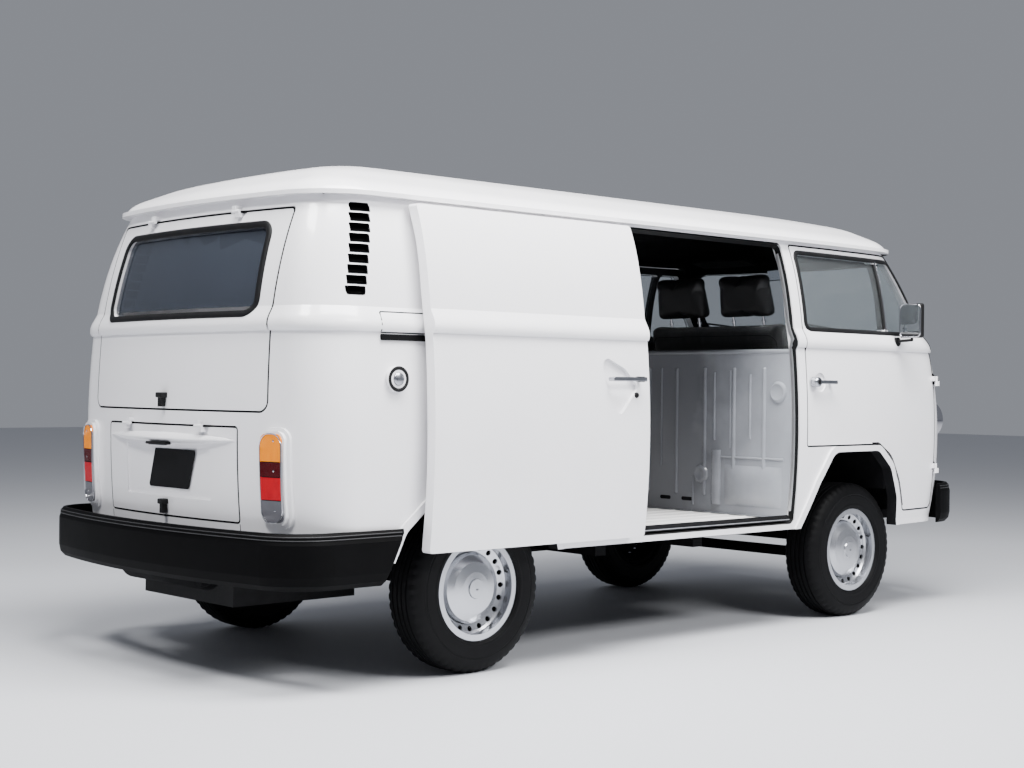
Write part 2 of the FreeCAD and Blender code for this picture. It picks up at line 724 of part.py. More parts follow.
def make_rim():
    """Pressed steel rim with a vented disc, domed hub cap and bored hub."""
    half = RIM_W / 2
    well = BEAD_R - 26.0
    bead_in = BEAD_R - RIM_T
    barrel = [
        (RIM_LIP_R, -half),
        (RIM_LIP_R, -half + RIM_T),
        (BEAD_R, -half + RIM_T),
        (BEAD_R, -half + 34.0),
        (well, -half + 50.0),
        (well, half - 62.0),
        (BEAD_R, half - 40.0),
        (BEAD_R, half - RIM_T),
        (RIM_LIP_R, half - RIM_T),
        (RIM_LIP_R, half),
        (bead_in, half),
        (bead_in, half - 38.0),
        (well - RIM_T, half - 60.0),
        (well - RIM_T, -half + 48.0),
        (bead_in, -half + 32.0),
        (bead_in, -half),
    ]
    disc = [
        (STUB_R + FIT, HUB_IN),
        (HUB_R, HUB_IN),
        (HUB_R, DISC_Y - 8.0),
        (CAP_R - 14.0, DISC_Y - 8.0),
        (bead_in + 1.0, DISC_Y + 8.0),
        (bead_in + 1.0, DISC_Y + 16.0),
        (CAP_R - 8.0, DISC_Y + 2.0),
        (CAP_R - 6.0, DISC_Y + 9.0),
        (CAP_R, DISC_Y + 11.0),
        (CAP_R - 9.0, DISC_Y + 24.0),
        (CAP_R - 36.0, DISC_Y + 37.0),
        (62.0, DISC_Y + 44.0),
        (39.0, DISC_Y + 46.0),
        (36.0, DISC_Y + 52.0),
        (0.0, DISC_Y + 53.0),
        (0.0, DISC_Y + 6.0),
        (STUB_R + FIT, DISC_Y + 6.0),
    ]
    rim = revolved(barrel).fuse(revolved(disc))
    ring = (CAP_R + bead_in) / 2 + 2.0
    for i in range(RIM_HOLES):
        angle = 2 * math.pi * i / RIM_HOLES
        at = Vector(ring * math.cos(angle), 0, ring * math.sin(angle))
        rim = rim.cut(cylinder(RIM_HOLE_R, at, at + Vector(0, half, 0)))
    return rim


def placed_wheel(shape, axle_x, y):
    """A wheel piece set on its axle, turned so that its outer face is away from the middle."""
    here = shape.copy()
    if y < 0:
        here = mirrored(here)
    here.translate(Vector(axle_x, y, TYRE_R))
    return here


def build_wheels():
    parts = {}
    tyre, rim = make_tyre(), make_rim()
    for axle, axle_x, track in (("front", FRONT_AXLE_X, FRONT_TRACK), ("rear", REAR_AXLE_X, REAR_TRACK)):
        for hand, side in (("left", 1), ("right", -1)):
            parts[f"tyre_{axle}_{hand}"] = placed_wheel(tyre, axle_x, side * track / 2)
            parts[f"rim_{axle}_{hand}"] = placed_wheel(rim, axle_x, side * track / 2)
    return parts


def build_knuckle():
    """Left steering knuckle: a post on the kingpin axis, an arm and the stub axle for the wheel."""
    centre = Vector(FRONT_AXLE_X, KINGPIN_Y, TYRE_R)
    rise = Vector(0, 0, POST_HALF)
    stub_end = Vector(FRONT_AXLE_X, FRONT_TRACK / 2 + DISC_Y + 2.0, TYRE_R)
    hub_face = Vector(FRONT_AXLE_X, FRONT_TRACK / 2 + HUB_IN - 6.0, TYRE_R)
    post = cylinder(POST_R, centre - rise, centre + rise)
    stub = cylinder(STUB_R, centre, stub_end)
    flange = cylinder(HUB_R, centre, hub_face)
    arm = box(FRONT_AXLE_X - 110.0, FRONT_AXLE_X, KINGPIN_Y - 34.0, KINGPIN_Y - 14.0, TYRE_R - 38.0, TYRE_R - 20.0)
    return post.fuse([stub, flange, arm])


def rail_hanger(x, side, z):
    """Bracket that hangs from a frame rail and holds a cross tube at height z."""
    y = side * RAIL_Y
    return box(x - 14.0, x + 14.0, y - 25.0, y + 25.0, z, RAIL_TOP_Z - RAIL_H - FIT)


def build_front_axle():
    """Two cross tubes ahead of the wheels with trailing arms that end above and below each knuckle."""
    tube_x = FRONT_AXLE_X + BEAM_LEAD
    shapes = []
    for z in (BEAM_Z - BEAM_SPLIT, BEAM_Z + BEAM_SPLIT):
        shapes.append(cylinder(BEAM_R, Vector(tube_x, -BEAM_HALF, z), Vector(tube_x, BEAM_HALF, z)))
    rise = POST_HALF + FIT + EYE_R
    for side in (1, -1):
        for way in (1, -1):
            root = Vector(tube_x, side * (BEAM_HALF - 20.0), BEAM_Z + way * BEAM_SPLIT)
            eye = Vector(FRONT_AXLE_X, side * KINGPIN_Y, TYRE_R + way * rise)
            shapes += [cylinder(ARM_R, root, eye), Part.makeSphere(EYE_R, eye)]
        shapes.append(rail_hanger(tube_x, side, BEAM_Z - BEAM_SPLIT))
    return shapes[0].fuse(shapes[1:])


def build_rear_suspension():
    """Cross tube ahead of the rear wheels, an arm on each side and the stub axle for the wheel."""
    pivot_x = REAR_AXLE_X + REAR_PIVOT_LEAD
    end_y = REAR_ARM_Y + 34.0
    tube = cylinder(BEAM_R, Vector(pivot_x, -end_y, REAR_PIVOT_Z), Vector(pivot_x, end_y, REAR_PIVOT_Z))
    shapes = []
    for side in (1, -1):
        hub = Vector(REAR_AXLE_X, side * REAR_ARM_Y, TYRE_R)
        pivot = Vector(pivot_x, side * REAR_ARM_Y, REAR_PIVOT_Z)
        hub_face = Vector(REAR_AXLE_X, side * (REAR_TRACK / 2 + HUB_IN - 6.0), TYRE_R)
        stub_end = Vector(REAR_AXLE_X, side * (REAR_TRACK / 2 + DISC_Y + 2.0), TYRE_R)
        shaft_end = Vector(REAR_AXLE_X, side * (GEARBOX_HALF + FIT), TYRE_R)
        shapes.append(cylinder(24.0, pivot, hub))
        shapes.append(rail_hanger(pivot_x, side, REAR_PIVOT_Z))
        shapes.append(cylinder(HUB_R + 14.0, hub - Vector(0, side * 30.0, 0), hub_face))
        shapes.append(cylinder(STUB_R, hub, stub_end))
        shapes.append(cylinder(20.0, hub, shaft_end))
    return tube.fuse(shapes)


def door_margin(room_near, side):
    """What has to stay clear inside a front door so that it can swing."""
    return side_prism(door_outline(), DOOR_RADII, side, SWING_ROOM, 300.0, 1000.0).cut(room_near)


def build_floors(room, margins):
    cab_rear = rear_x(BULKHEAD_X) + BULKHEAD_T + FIT
    riser_x = rear_x(SEAT_BOX_FRONT_X)
    seat_top = box(cab_rear, riser_x, -BIG, BIG, SEAT_BOX_Z - FLOOR_T, SEAT_BOX_Z)
    riser = box(riser_x - FLOOR_T, riser_x, -BIG, BIG, FOOTWELL_Z - FLOOR_T, SEAT_BOX_Z)
    footwell = box(riser_x - FLOOR_T, BIG, -BIG, BIG, FOOTWELL_Z - FLOOR_T, FOOTWELL_Z)
    pieces = [riser, footwell]
    for side in (1, -1):
        y0, y1 = sorted((side * WHEEL_WALL_Y, side * (WHEEL_WALL_Y - FLOOR_T)))
        pieces.append(box(cab_rear, riser_x, y0, y1, FLOOR_Z - FLOOR_T, SEAT_BOX_Z))
    cab = seat_top.fuse(pieces).common(room).cut(margins)

    front = rear_x(BULKHEAD_X) - FIT
    deck_x = rear_x(DECK_X)
    plate = box(deck_x, front, -BIG, BIG, FLOOR_Z - FLOOR_T, FLOOR_Z)
    well_x = REAR_AXLE_X + REAR_ARCH[-2][0] + 70.0
    load = plate
    for side in (1, -1):
        y0, y1 = sorted((side * WHEELHOUSE_Y, side * BIG))
        outer = box(deck_x, well_x, y0, y1, FLOOR_Z - FLOOR_T, WHEELHOUSE_Z)
        inner_y = sorted((side * (WHEELHOUSE_Y + FLOOR_T), side * BIG))
        hollow = box(deck_x, well_x - FLOOR_T, *inner_y, FLOOR_Z - 2 * FLOOR_T, WHEELHOUSE_Z - FLOOR_T)
        load = load.fuse(outer).cut(hollow)
    load = load.common(room)

    deck_front = deck_x - FIT
    top = box(-BIG, deck_front, -BIG, BIG, DECK_Z - FLOOR_T, DECK_Z)
    wall = box(deck_front - FLOOR_T, deck_front, -BIG, BIG, FLOOR_Z - FLOOR_T, DECK_Z)
    pieces = [wall]
    for side in (1, -1):
        y0, y1 = sorted((side * WHEELHOUSE_Y, side * (WHEELHOUSE_Y + FLOOR_T)))
        pieces.append(box(-BIG, deck_front, y0, y1, FLOOR_Z - FLOOR_T, DECK_Z - FLOOR_T))
        y0, y1 = sorted((side * (WHEELHOUSE_Y + FLOOR_T), side * BIG))
        pieces.append(box(REAR_AXLE_X - 470.0, deck_front, y0, y1, WHEELHOUSE_Z - FLOOR_T, WHEELHOUSE_Z))
    deck = top.fuse(pieces).common(room)
    for side in (1, -1):
        y0, y1 = sorted((side * (WHEELHOUSE_Y + FLOOR_T), side * BIG))
        deck = deck.cut(box(-BIG, BIG, y0, y1, 0, WHEELHOUSE_Z - FLOOR_T))
    return {"cab_floor": cab, "load_floor": load, "engine_deck": deck}


def build_bulkhead(room):
    x = rear_x(BULKHEAD_X)
    plate = box(x, x + BULKHEAD_T, -BIG, BIG, FLOOR_Z + FIT, BULKHEAD_TOP_Z)
    bead = cylinder(11.0, Vector(x + 5.0, -BIG, BULKHEAD_TOP_Z - 6.0), Vector(x + 5.0, BIG, BULKHEAD_TOP_Z - 6.0))
    shapes = [bead]
    for i in range(BULKHEAD_RIBS):
        y = BULKHEAD_RIB_PITCH * (i - (BULKHEAD_RIBS - 1) / 2)
        foot, top = Vector(x + 2.0, y, FLOOR_Z + 90.0), Vector(x + 2.0, y, BULKHEAD_TOP_Z - 90.0)
        shapes += [cylinder(11.0, foot, top), Part.makeSphere(11.0, foot), Part.makeSphere(11.0, top)]
    return plate.fuse(shapes).common(room)


def headrest(x, y):
    """Padded block on two stems, leaning back with the seat."""
    block = box(-HEAD_T / 2, HEAD_T / 2, -HEAD_HALF, HEAD_HALF, 0, HEAD_H)
    block = block.makeFillet(32.0, block.Edges)
    ends = [(Vector(0, s * HEAD_STEM_Y, -70.0), Vector(0, s * HEAD_STEM_Y, 20.0)) for s in (1, -1)]
    stems = [cylinder(6.0, foot, top) for foot, top in ends]
    head = block.fuse(stems)
    head.rotate(Vector(0, 0, 0), Vector(0, 1, 0), -SEAT_LEAN)
    lean = math.radians(SEAT_LEAN)
    reach = BACK_H + HEAD_GAP
    head.translate(Vector(x - reach * math.sin(lean), y, CUSHION_TOP_Z - 30.0 + reach * math.cos(lean)))
    return head


def seat(y0, y1, heads):
    """Cushion on its base, a leaning back and the headrests."""
    front, rear = rear_x(SEAT_FRONT_X), rear_x(SEAT_REAR_X)
    base = box(rear + 60.0, front - 70.0, y0 + 50.0, y1 - 50.0, SEAT_BOX_Z + FIT, CUSHION_TOP_Z - CUSHION_T + 5.0)
    cushion = box(rear, front, y0, y1, CUSHION_TOP_Z - CUSHION_T, CUSHION_TOP_Z)
    cushion = cushion.makeFillet(30.0, cushion.Edges)
    back = box(-BACK_T / 2, BACK_T / 2, y0, y1, 0, BACK_H)
    back = back.makeFillet(32.0, back.Edges)
    back.rotate(Vector(0, 0, 0), Vector(0, 1, 0), -SEAT_LEAN)
    hinge_x = rear + BACK_T / 2 + 38.0
    back.translate(Vector(hinge_x, 0, CUSHION_TOP_Z - 30.0))
    return base.fuse([cushion, back] + [headrest(hinge_x, y) for y in heads])


def build_dashboard(room, margins):
    x = rear_x(DASH_X)
    profile = [
        (x, DASH_FOOT_Z),
        (x - 34.0, DASH_TOP_Z - 40.0),
        (x - 10.0, DASH_TOP_Z),
        (x + 900.0, DASH_TOP_Z + 6.0),
        (x + 900.0, DASH_FOOT_Z + 60.0),
    ]
    y0, y1 = DRIVER_Y - HOOD_HALF, DRIVER_Y + HOOD_HALF
    hood = box(x - 80.0, x + 60.0, y0, y1, DASH_TOP_Z - 130.0, DASH_TOP_Z + 40.0)
    hood = hood.makeFillet(22.0, hood.Edges)
    return across(profile).fuse(hood).common(room).cut(margins)


def build_steering():
    """Wheel, two spokes and column, which leans back from the floor ahead of the driver."""
    rim = Part.makeTorus(WHEEL_R, 12.0)
    spokes = cylinder(9.0, Vector(0, -WHEEL_R, 0), Vector(0, WHEEL_R, 0))
    hub = Part.makeCone(46.0, 30.0, 44.0, Vector(0, 0, -22.0))
    column = cylinder(20.0, Vector(0, 0, -COLUMN_L), Vector(0, 0, 0))
    wheel = rim.fuse([spokes, hub, column])
    wheel.rotate(Vector(0, 0, 0), Vector(0, 1, 0), -COLUMN_LEAN)
    lean = math.radians(COLUMN_LEAN)
    foot_x = rear_x(COLUMN_FOOT_X)
    wheel.translate(Vector(foot_x - COLUMN_L * math.sin(lean), DRIVER_Y, FOOTWELL_Z + COLUMN_L * math.cos(lean)))
    floor_cut = box(-BIG, BIG, -BIG, BIG, 0, FOOTWELL_Z + FIT)
    return wheel.cut(floor_cut)


def build_bumpers():
    """Pressed bumper bars that wrap round the corners."""
    half_width = BUMPER_HALF
    front_reach = LENGTH / 2 - FRONT_AXLE_X
    near_flares = loft(LOWER, [FLARE_PROUD + BUMPER_ROOM] * len(LOWER))
    parts = {}
    for name, lift, x0, x1 in (
        ("bumper_front", FRONT_BUMPER_LIFT, rear_x(FRONT_BUMPER_END_X), BIG),
        ("bumper_rear", 0.0, -BIG, rear_x(REAR_BUMPER_END_X)),
    ):
        low = Level(BUMPER_FOOT_Z + lift, half_width, front_reach, REAR_OVERHANG)
        step = BUMPER_TOP_Z - BUMPER_FOOT_Z
        levels = [low._replace(z=low.z + share * step) for share, _ in BUMPER_SECTION]
        bar = loft(levels, [-drawn for _, drawn in BUMPER_SECTION], True)
        tall = [low._replace(z=low.z - 1.0), low._replace(z=low.z + step + 1.0)]
        bar = bar.cut(loft(tall, [-BUMPER_WALL] * 2)).cut(near_flares)
        parts[name] = bar.common(box(x0, x1, -BIG, BIG, 0, BIG))
    slant = [
        (rear_x(REAR_BUMPER_END_FOOT_X), 0.0),
        (rear_x(REAR_BUMPER_END_FOOT_X), BUMPER_FOOT_Z),
        (rear_x(REAR_BUMPER_END_X), BUMPER_TOP_Z),
        (BIG, BUMPER_TOP_Z),
        (BIG, 0.0),
    ]
    parts["bumper_rear"] = parts["bumper_rear"].cut(across(slant))
    return parts


def build_frame():
    """Two rails under the floor, with horns that carry the bumpers, and cross members."""
    front = LENGTH / 2 - BUMPER_WALL - 12.0
    rear = -LENGTH / 2 + BUMPER_WALL + 12.0
    horn_top = SILL_Z - 2 * FIT
    foot = RAIL_TOP_Z - RAIL_H
    shapes = []
    for side in (1, -1):
        y0, y1 = side * RAIL_Y - RAIL_W / 2, side * RAIL_Y + RAIL_W / 2
        shapes.append(box(rear_x(RAIL_REAR_X), FRONT_AXLE_X + 640.0, y0, y1, foot, RAIL_TOP_Z))
        shapes.append(box(rear, front, y0, y1, horn_top - 46.0, horn_top))
    for x in CROSS_MEMBERS:
        shapes.append(box(rear_x(x) - 30.0, rear_x(x) + 30.0, -OUTRIGGER_Y, OUTRIGGER_Y, foot + 14.0, RAIL_TOP_Z))
    frame = shapes[0].fuse(shapes[1:])
    bars = loft(
        [Level(z, BUMPER_HALF, LENGTH / 2 - FRONT_AXLE_X, REAR_OVERHANG) for z in (foot - 5.0, RAIL_TOP_Z + 5.0)],
        [-BUMPER_WALL - FIT] * 2,
    )
    return frame.common(bars)


def lamp_outline(half_w, foot, top):
    return [
        (TAIL_LAMP_Y - half_w, foot),
        (TAIL_LAMP_Y + half_w, foot),
        (TAIL_LAMP_Y + half_w, top),
        (TAIL_LAMP_Y - half_w, top),
    ]


def both_sides(shape):
    return Part.makeCompound([*shape.Solids, *mirrored(shape).Solids])


def build_lamps(body):
    """Tail lamps, headlamps, indicators and the fresh air grille, each on the body's surface."""
    tail0, tail1 = rear_x(-1200.0), rear_x(-600.0)
    half, foot, top = TAIL_LAMP_HALF, TAIL_LAMP_FOOT_Z, TAIL_LAMP_TOP_Z
    lens = end_prism(lamp_outline(half - 9.0, foot + 9.0, top - 9.0), 26.0, tail0, tail1)
    frame = end_prism(lamp_outline(half, foot, top), 34.0, tail0, tail1).cut(lens)
    low_skin = proud_layer(FIT, TAIL_LAMP_PROUD)
    lens_skin = proud_layer(FIT, TAIL_LAMP_PROUD + 5.0)
    glass = end_prism(lamp_outline(half - 9.0 - FIT, foot + 9.0 + FIT, top - 9.0 - FIT), 26.0, tail0, tail1)
    glass = glass.common(lens_skin)
    tail_frames = both_sides(frame.common(low_skin))
    lenses = []
    edges = (foot, TAIL_LAMP_CLEAR_Z, TAIL_LAMP_REFLECTOR_Z, TAIL_LAMP_AMBER_Z, top)
    for z0, z1 in zip(edges, edges[1:]):
        lenses += both_sides(glass.common(box(-BIG, BIG, -BIG, BIG, z0 + FIT / 2, z1 - FIT / 2))).Solids
    parts = {"tail_lamp_lenses": Part.makeCompound(lenses)}

    lamp_face = FRONT_AXLE_X + HEADLAMP_FACE
    deep = Vector(FRONT_AXLE_X + 600.0, HEADLAMP_Y, HEADLAMP_Z)
    face_at = Vector(lamp_face, HEADLAMP_Y, HEADLAMP_Z)
    bezel = cylinder(HEADLAMP_R, deep, face_at).cut(cylinder(HEADLAMP_GLASS_R, deep, face_at + Vector(9, 0, 0)))
    ball = Part.makeSphere(HEADLAMP_BULGE_R, face_at - Vector(HEADLAMP_BULGE_R - 14.0, 0, 0))
    glass = cylinder(HEADLAMP_GLASS_R - FIT, deep, face_at + Vector(30, 0, 0)).common(
        ball.fuse(cylinder(HEADLAMP_GLASS_R - FIT, deep, face_at - Vector(12, 0, 0)))
    )
    rings = both_sides(bezel.cut(body))
    parts["lamp_rims"] = Part.makeCompound([*tail_frames.Solids, *rings.Solids])
    parts["headlamp_glasses"] = both_sides(glass.cut(body))

    nose0, nose1 = FRONT_AXLE_X + 640.0, FRONT_AXLE_X + 1100.0
    upper_skin = proud_layer(FIT, 14.0)
    blink = [(y, z) for y, z in ((570, 1080), (690, 1080), (690, 1180), (570, 1180))]
    parts["front_indicators"] = both_sides(end_prism(blink, 18.0, nose0, nose1).common(upper_skin))
    grille_skin = proud_layer(FIT, 9.0)
    outline = trapezium(GRILLE_HALF, GRILLE_HALF, GRILLE_FOOT_Z, GRILLE_TOP_Z)
    grille = end_prism(outline, 24.0, nose0, nose1).common(grille_skin)
    pitch = (GRILLE_TOP_Z - GRILLE_FOOT_Z - 20.0) / GRILLE_SLOTS
    for i in range(GRILLE_SLOTS):
        z = GRILLE_FOOT_Z + 10.0 + (i + 0.5) * pitch
        slot = trapezium(GRILLE_HALF - 24.0, GRILLE_HALF - 24.0, z - 0.3 * pitch, z + 0.3 * pitch)
        grille = grille.cut(end_prism(slot, 3.0, nose0, nose1))
    parts["fresh_air_grille"] = grille
    return parts


def build_fittings(near_body):
    """Handles, mirrors, fuel cap and sliding door gear, each cut to the surface that carries it."""
    parts = {}
    hx, hz = rear_x(DOOR_HANDLE_X), DOOR_HANDLE_Z
    half = DOOR_HANDLE_HALF
    bar = box(hx - half, hx + half, 884.0, 898.0, hz - 9.0, hz + 9.0)
    bar = bar.makeFillet(4.0, bar.Edges)
    ends = [hx + s * (half - 14.0) for s in (1, -1)]
    posts = [cylinder(8.0, Vector(x, 820.0, hz), Vector(x, 890.0, hz)) for x in ends]
    handle = bar.fuse(posts).cut(near_body)
    parts["door_handle_left"] = handle
    parts["door_handle_right"] = mirrored(handle)

    base = Vector(rear_x(MIRROR_X), MIRROR_Y - 40.0, MIRROR_Z)
    elbow = Vector(rear_x(MIRROR_X), MIRROR_HEAD_Y, MIRROR_Z + 8.0)
    top = Vector(rear_x(MIRROR_X), MIRROR_HEAD_Y, MIRROR_HEAD_Z)
    arm = cylinder(7.0, base, elbow).fuse([Part.makeSphere(7.0, elbow), cylinder(7.0, elbow, top)])
    foot = cylinder(22.0, base, Vector(base.x, MIRROR_Y + 14.0, base.z))
    head = box(-17.0, 17.0, -MIRROR_HALF_W, MIRROR_HALF_W, -MIRROR_HALF_H, MIRROR_HALF_H)
    head = head.makeFillet(12.0, head.Edges)
    head.translate(top)
    mirror = arm.fuse([foot, head]).cut(near_body)
    parts["mirror_left"] = mirror
    parts["mirror_right"] = mirrored(mirror)

    cap_at = Vector(rear_x(FUEL_CAP_X), -700.0, FUEL_CAP_Z)
    cap = cylinder(FUEL_CAP_R, cap_at, Vector(cap_at.x, -FUEL_CAP_Y, cap_at.z))
    parts["fuel_cap"] = cap.cut(near_body)
    return parts


def build_slide_gear(near_body, near_door):
    """Track on the rear quarter, the arms of the open sliding door and its handle."""
    x0, x1 = rear_x(TRACK_REAR_X), rear_x(SLIDE_REAR_X) - SHUT_GAP
    strip = [(x0, TRACK_Z), (x1, TRACK_Z), (x1, TRACK_Z + TRACK_H), (x0, TRACK_Z + TRACK_H)]
    skin = proud_layer(FIT, TRACK_PROUD)
    track = side_prism(strip, 6.0, -1).common(skin)
    door_front = rear_x(SLIDE_FRONT_X - SLIDE_RUN)
    arm_x1 = door_front - 6.0
    arm_x0 = rear_x(SLIDE_REAR_X) + 6.0
    arms = []
    for z in (SLIDE_FOOT_Z + 30.0, SLIDE_TOP_Z - 30.0):
        reach = 830.0 if z < BELT_Z else 700.0
        arms.append(box(arm_x0, arm_x1, -BIG, -reach + 60.0, z - ARM_W / 2, z + ARM_W / 2))
    roller = box(rear_x(-250.0), rear_x(-190.0), -BIG, -800.0, TRACK_Z + 4.0, TRACK_Z + TRACK_H - 4.0)
    inside_door = cabin_solid(FIT)
    inside_door.translate(Vector(-SLIDE_RUN, -SLIDE_OUT, 0))
    held = [a.common(inside_door) for a in arms]
    roller = roller.common(inside_door).cut(loft(LOWER, [TRACK_PROUD + FIT] * len(LOWER)))
    hx, hz = door_front - SLIDE_HANDLE_BACK, SLIDE_HANDLE_Z
    half = SLIDE_HANDLE_HALF
    bar = box(hx - half, hx + half, -SLIDE_OUT - 898.0, -SLIDE_OUT - 884.0, hz - 9.0, hz + 9.0)
    bar = bar.makeFillet(4.0, bar.Edges)
    posts = []
    for s in (1, -1):
        start = Vector(hx + s * (half - 14.0), -SLIDE_OUT - 800.0, hz)
        posts.append(cylinder(8.0, start, start - Vector(0, 90.0, 0)))
    handle = bar.fuse(posts).cut(near_door)
    return {
        "slide_track": track,
        "slide_arms": Part.makeCompound([s for h in (*held, roller) for s in h.Solids]),
        "slide_handle": handle,
    }


def build_powertrain():
    """The engine as one block behind the rear axle, with the gearbox ahead of it."""
    width = RAIL_Y - RAIL_W / 2 - FIT
    engine = box(rear_x(ENGINE_REAR_X), rear_x(ENGINE_FRONT_X), -width, width, ENGINE_FOOT_Z, ENGINE_TOP_Z)
    gearbox = box(
        rear_x(ENGINE_FRONT_X), rear_x(GEARBOX_FRONT_X) - 60.0, -GEARBOX_HALF, GEARBOX_HALF, ENGINE_FOOT_Z + 20.0, 440.0
    )
    return engine.fuse(gearbox)


def hinge(at, axis, to_fixed, inward):
    """Moving and standing half of a hinge: two barrels end to end, each with its own leaf."""

    def half(way, fixed):
        side = to_fixed * (1 if fixed else -1)
        stand = HINGE_R - 3.0
        corners = ((0, -stand), (HINGE_LEAF, -stand), (HINGE_LEAF, HINGE_FOOT))
        corners += ((HINGE_R, HINGE_FOOT), (HINGE_R, stand), (0, stand))
        start = at + axis * (way * FIT / 2)
        points = [start + side * a + inward * b for a, b in corners]
        leaf = Part.Face(Part.makePolygon(points + points[:1])).extrude(axis * (way * HINGE_LEN))
        return leaf.fuse(cylinder(HINGE_R, start, start + axis * (way * HINGE_LEN)))

    return half(1, False), half(-1, True)


def dished(panel, shape, depth):
    """The panel with the part of its outer skin that lies in the shape pressed in by a depth."""
    return panel.cut(shape.cut(body_solid(-depth)))


def tail_face(y, z):
    """Model x of the outer face of the tail at a place on its bow."""
    return REAR_AXLE_X - level_at(z).tail + TAIL_BOW_R - math.sqrt(TAIL_BOW_R**2 - y**2)


def make_visor():
    """Hood over the number plate on the engine lid, which follows the bow and tapers to each end."""
    wires = []
    for share, proud, half_h in VISOR_SECTIONS:
        y = share * VISOR_HALF
        x = tail_face(y, VISOR_Z)
        ring = [(x - proud, 0), (x - 0.7 * proud, half_h * 0.72), (x, half_h), (x + 12.0, 0)]
        ring += [(x, -half_h), (x - 0.7 * proud, -half_h * 0.72)]
        curve = Part.BSplineCurve()
        curve.interpolate([Vector(a, y, VISOR_Z + b) for a, b in ring], PeriodicFlag=True)
        wires.append(Part.Wire(curve.toShape()))
    return Part.makeLoft(wires, True)


def add_pressings(parts):
    """Hollows and bulges pressed into the engine lid, the doors and the tail corners."""
    tail0, tail1 = rear_x(-1200.0), rear_x(-700.0)
    plate = end_prism(trapezium(PLATE_HALF, PLATE_HALF, PLATE_FOOT_Z, PLATE_TOP_Z), 10.0, tail0, tail1)
    parts["engine_lid"] = dished(parts["engine_lid"], plate, PLATE_DISH).fuse(make_visor())
    outline = [(rear_x(x + SLIDE_RUN), z) for x, z in SHIELD]
    shield = side_prism(outline, SHIELD_R, -1)
    parts["sliding_door"] = dished(parts["sliding_door"], shield, SHIELD_DISH)
    for side, hand in ((1, "left"), (-1, "right")):
        at = Vector(rear_x(DOOR_HANDLE_X), side * 700.0, DOOR_HANDLE_Z)
        dish = cylinder(HANDLE_DISH_R, at, at + Vector(0, side * 300.0, 0))
        parts[f"door_{hand}"] = dished(parts[f"door_{hand}"], dish, HANDLE_DISH)
    half, foot, top = TAIL_LAMP_HALF, TAIL_LAMP_FOOT_Z, TAIL_LAMP_TOP_Z
    wide = TAIL_LAMP_SEAT_W
    seat_out = end_prism(lamp_outline(half + wide, foot - wide, top + wide), 34.0 + wide, tail0, tail1)
    seat_in = end_prism(lamp_outline(half + FIT, foot - FIT, top + FIT), 34.0, tail0, tail1)
    blisters = both_sides(seat_out.cut(seat_in).common(proud_layer(0.0, TAIL_LAMP_SEAT_PROUD)))
    parts["tail_frame"] = parts["tail_frame"].fuse(blisters.Solids)


def add_hinges(parts):
    """Hinges of the front doors, the tailgate and the engine lid."""
    forward, up, left = Vector(1, 0, 0), Vector(0, 0, 1), Vector(0, 1, 0)
    door_x = rear_x(DOOR_FRONT_X) + SHUT_GAP / 2
    widest = max(level.half_width for level in LOWER)
    drawn_in = TAPER_R - math.sqrt(TAPER_R**2 - (door_x - rear_x(TAPER_X)) ** 2)
    door_y = widest - drawn_in + DOOR_HINGE_OUT
    for hand, side in (("left", 1), ("right", -1)):
        for z in DOOR_HINGE_Z:
            moving, fixed = hinge(Vector(door_x, side * door_y, z), up, forward, left * -side)
            parts[f"door_{hand}"] = parts[f"door_{hand}"].fuse(moving)
            parts["nose_panel"] = parts["nose_panel"].fuse(fixed)
    places = (("tailgate", TAILGATE_TOP_Z, TAILGATE_HINGE_Y), ("engine_lid", LID_TOP_Z, LID_HINGE_Y))
    for name, top, y in places:
        z = top + SHUT_GAP / 2
        x = REAR_AXLE_X - level_at(z).tail - HINGE_OUT
        for side in (1, -1):
            moving, fixed = hinge(Vector(x, side * y, z), left * side, up, forward)
            parts[name] = parts[name].fuse(moving)
            parts["tail_frame"] = parts["tail_frame"].fuse(fixed)


def build_tail_fittings(near_body):
    """Pull handles on the centre line of the tailgate and of the engine lid."""
    parts = {}
    for name, foot in (("tailgate_lock", TAILGATE_FOOT_Z + 6.0), ("lid_lock", LID_FOOT_Z + 6.0)):
        top = foot + LOCK_H
        x = tail_face(0.0, foot)
        stem = box(x - LOCK_PROUD + 6.0, x + WALL / 2, -LOCK_W / 4, LOCK_W / 4, foot, top - 6.0)
        head = box(x - LOCK_PROUD, x + WALL / 2, -LOCK_W / 2, LOCK_W / 2, top - 20.0, top)
        parts[name] = stem.fuse(head.makeFillet(5.0, head.Edges)).cut(near_body)
    return parts


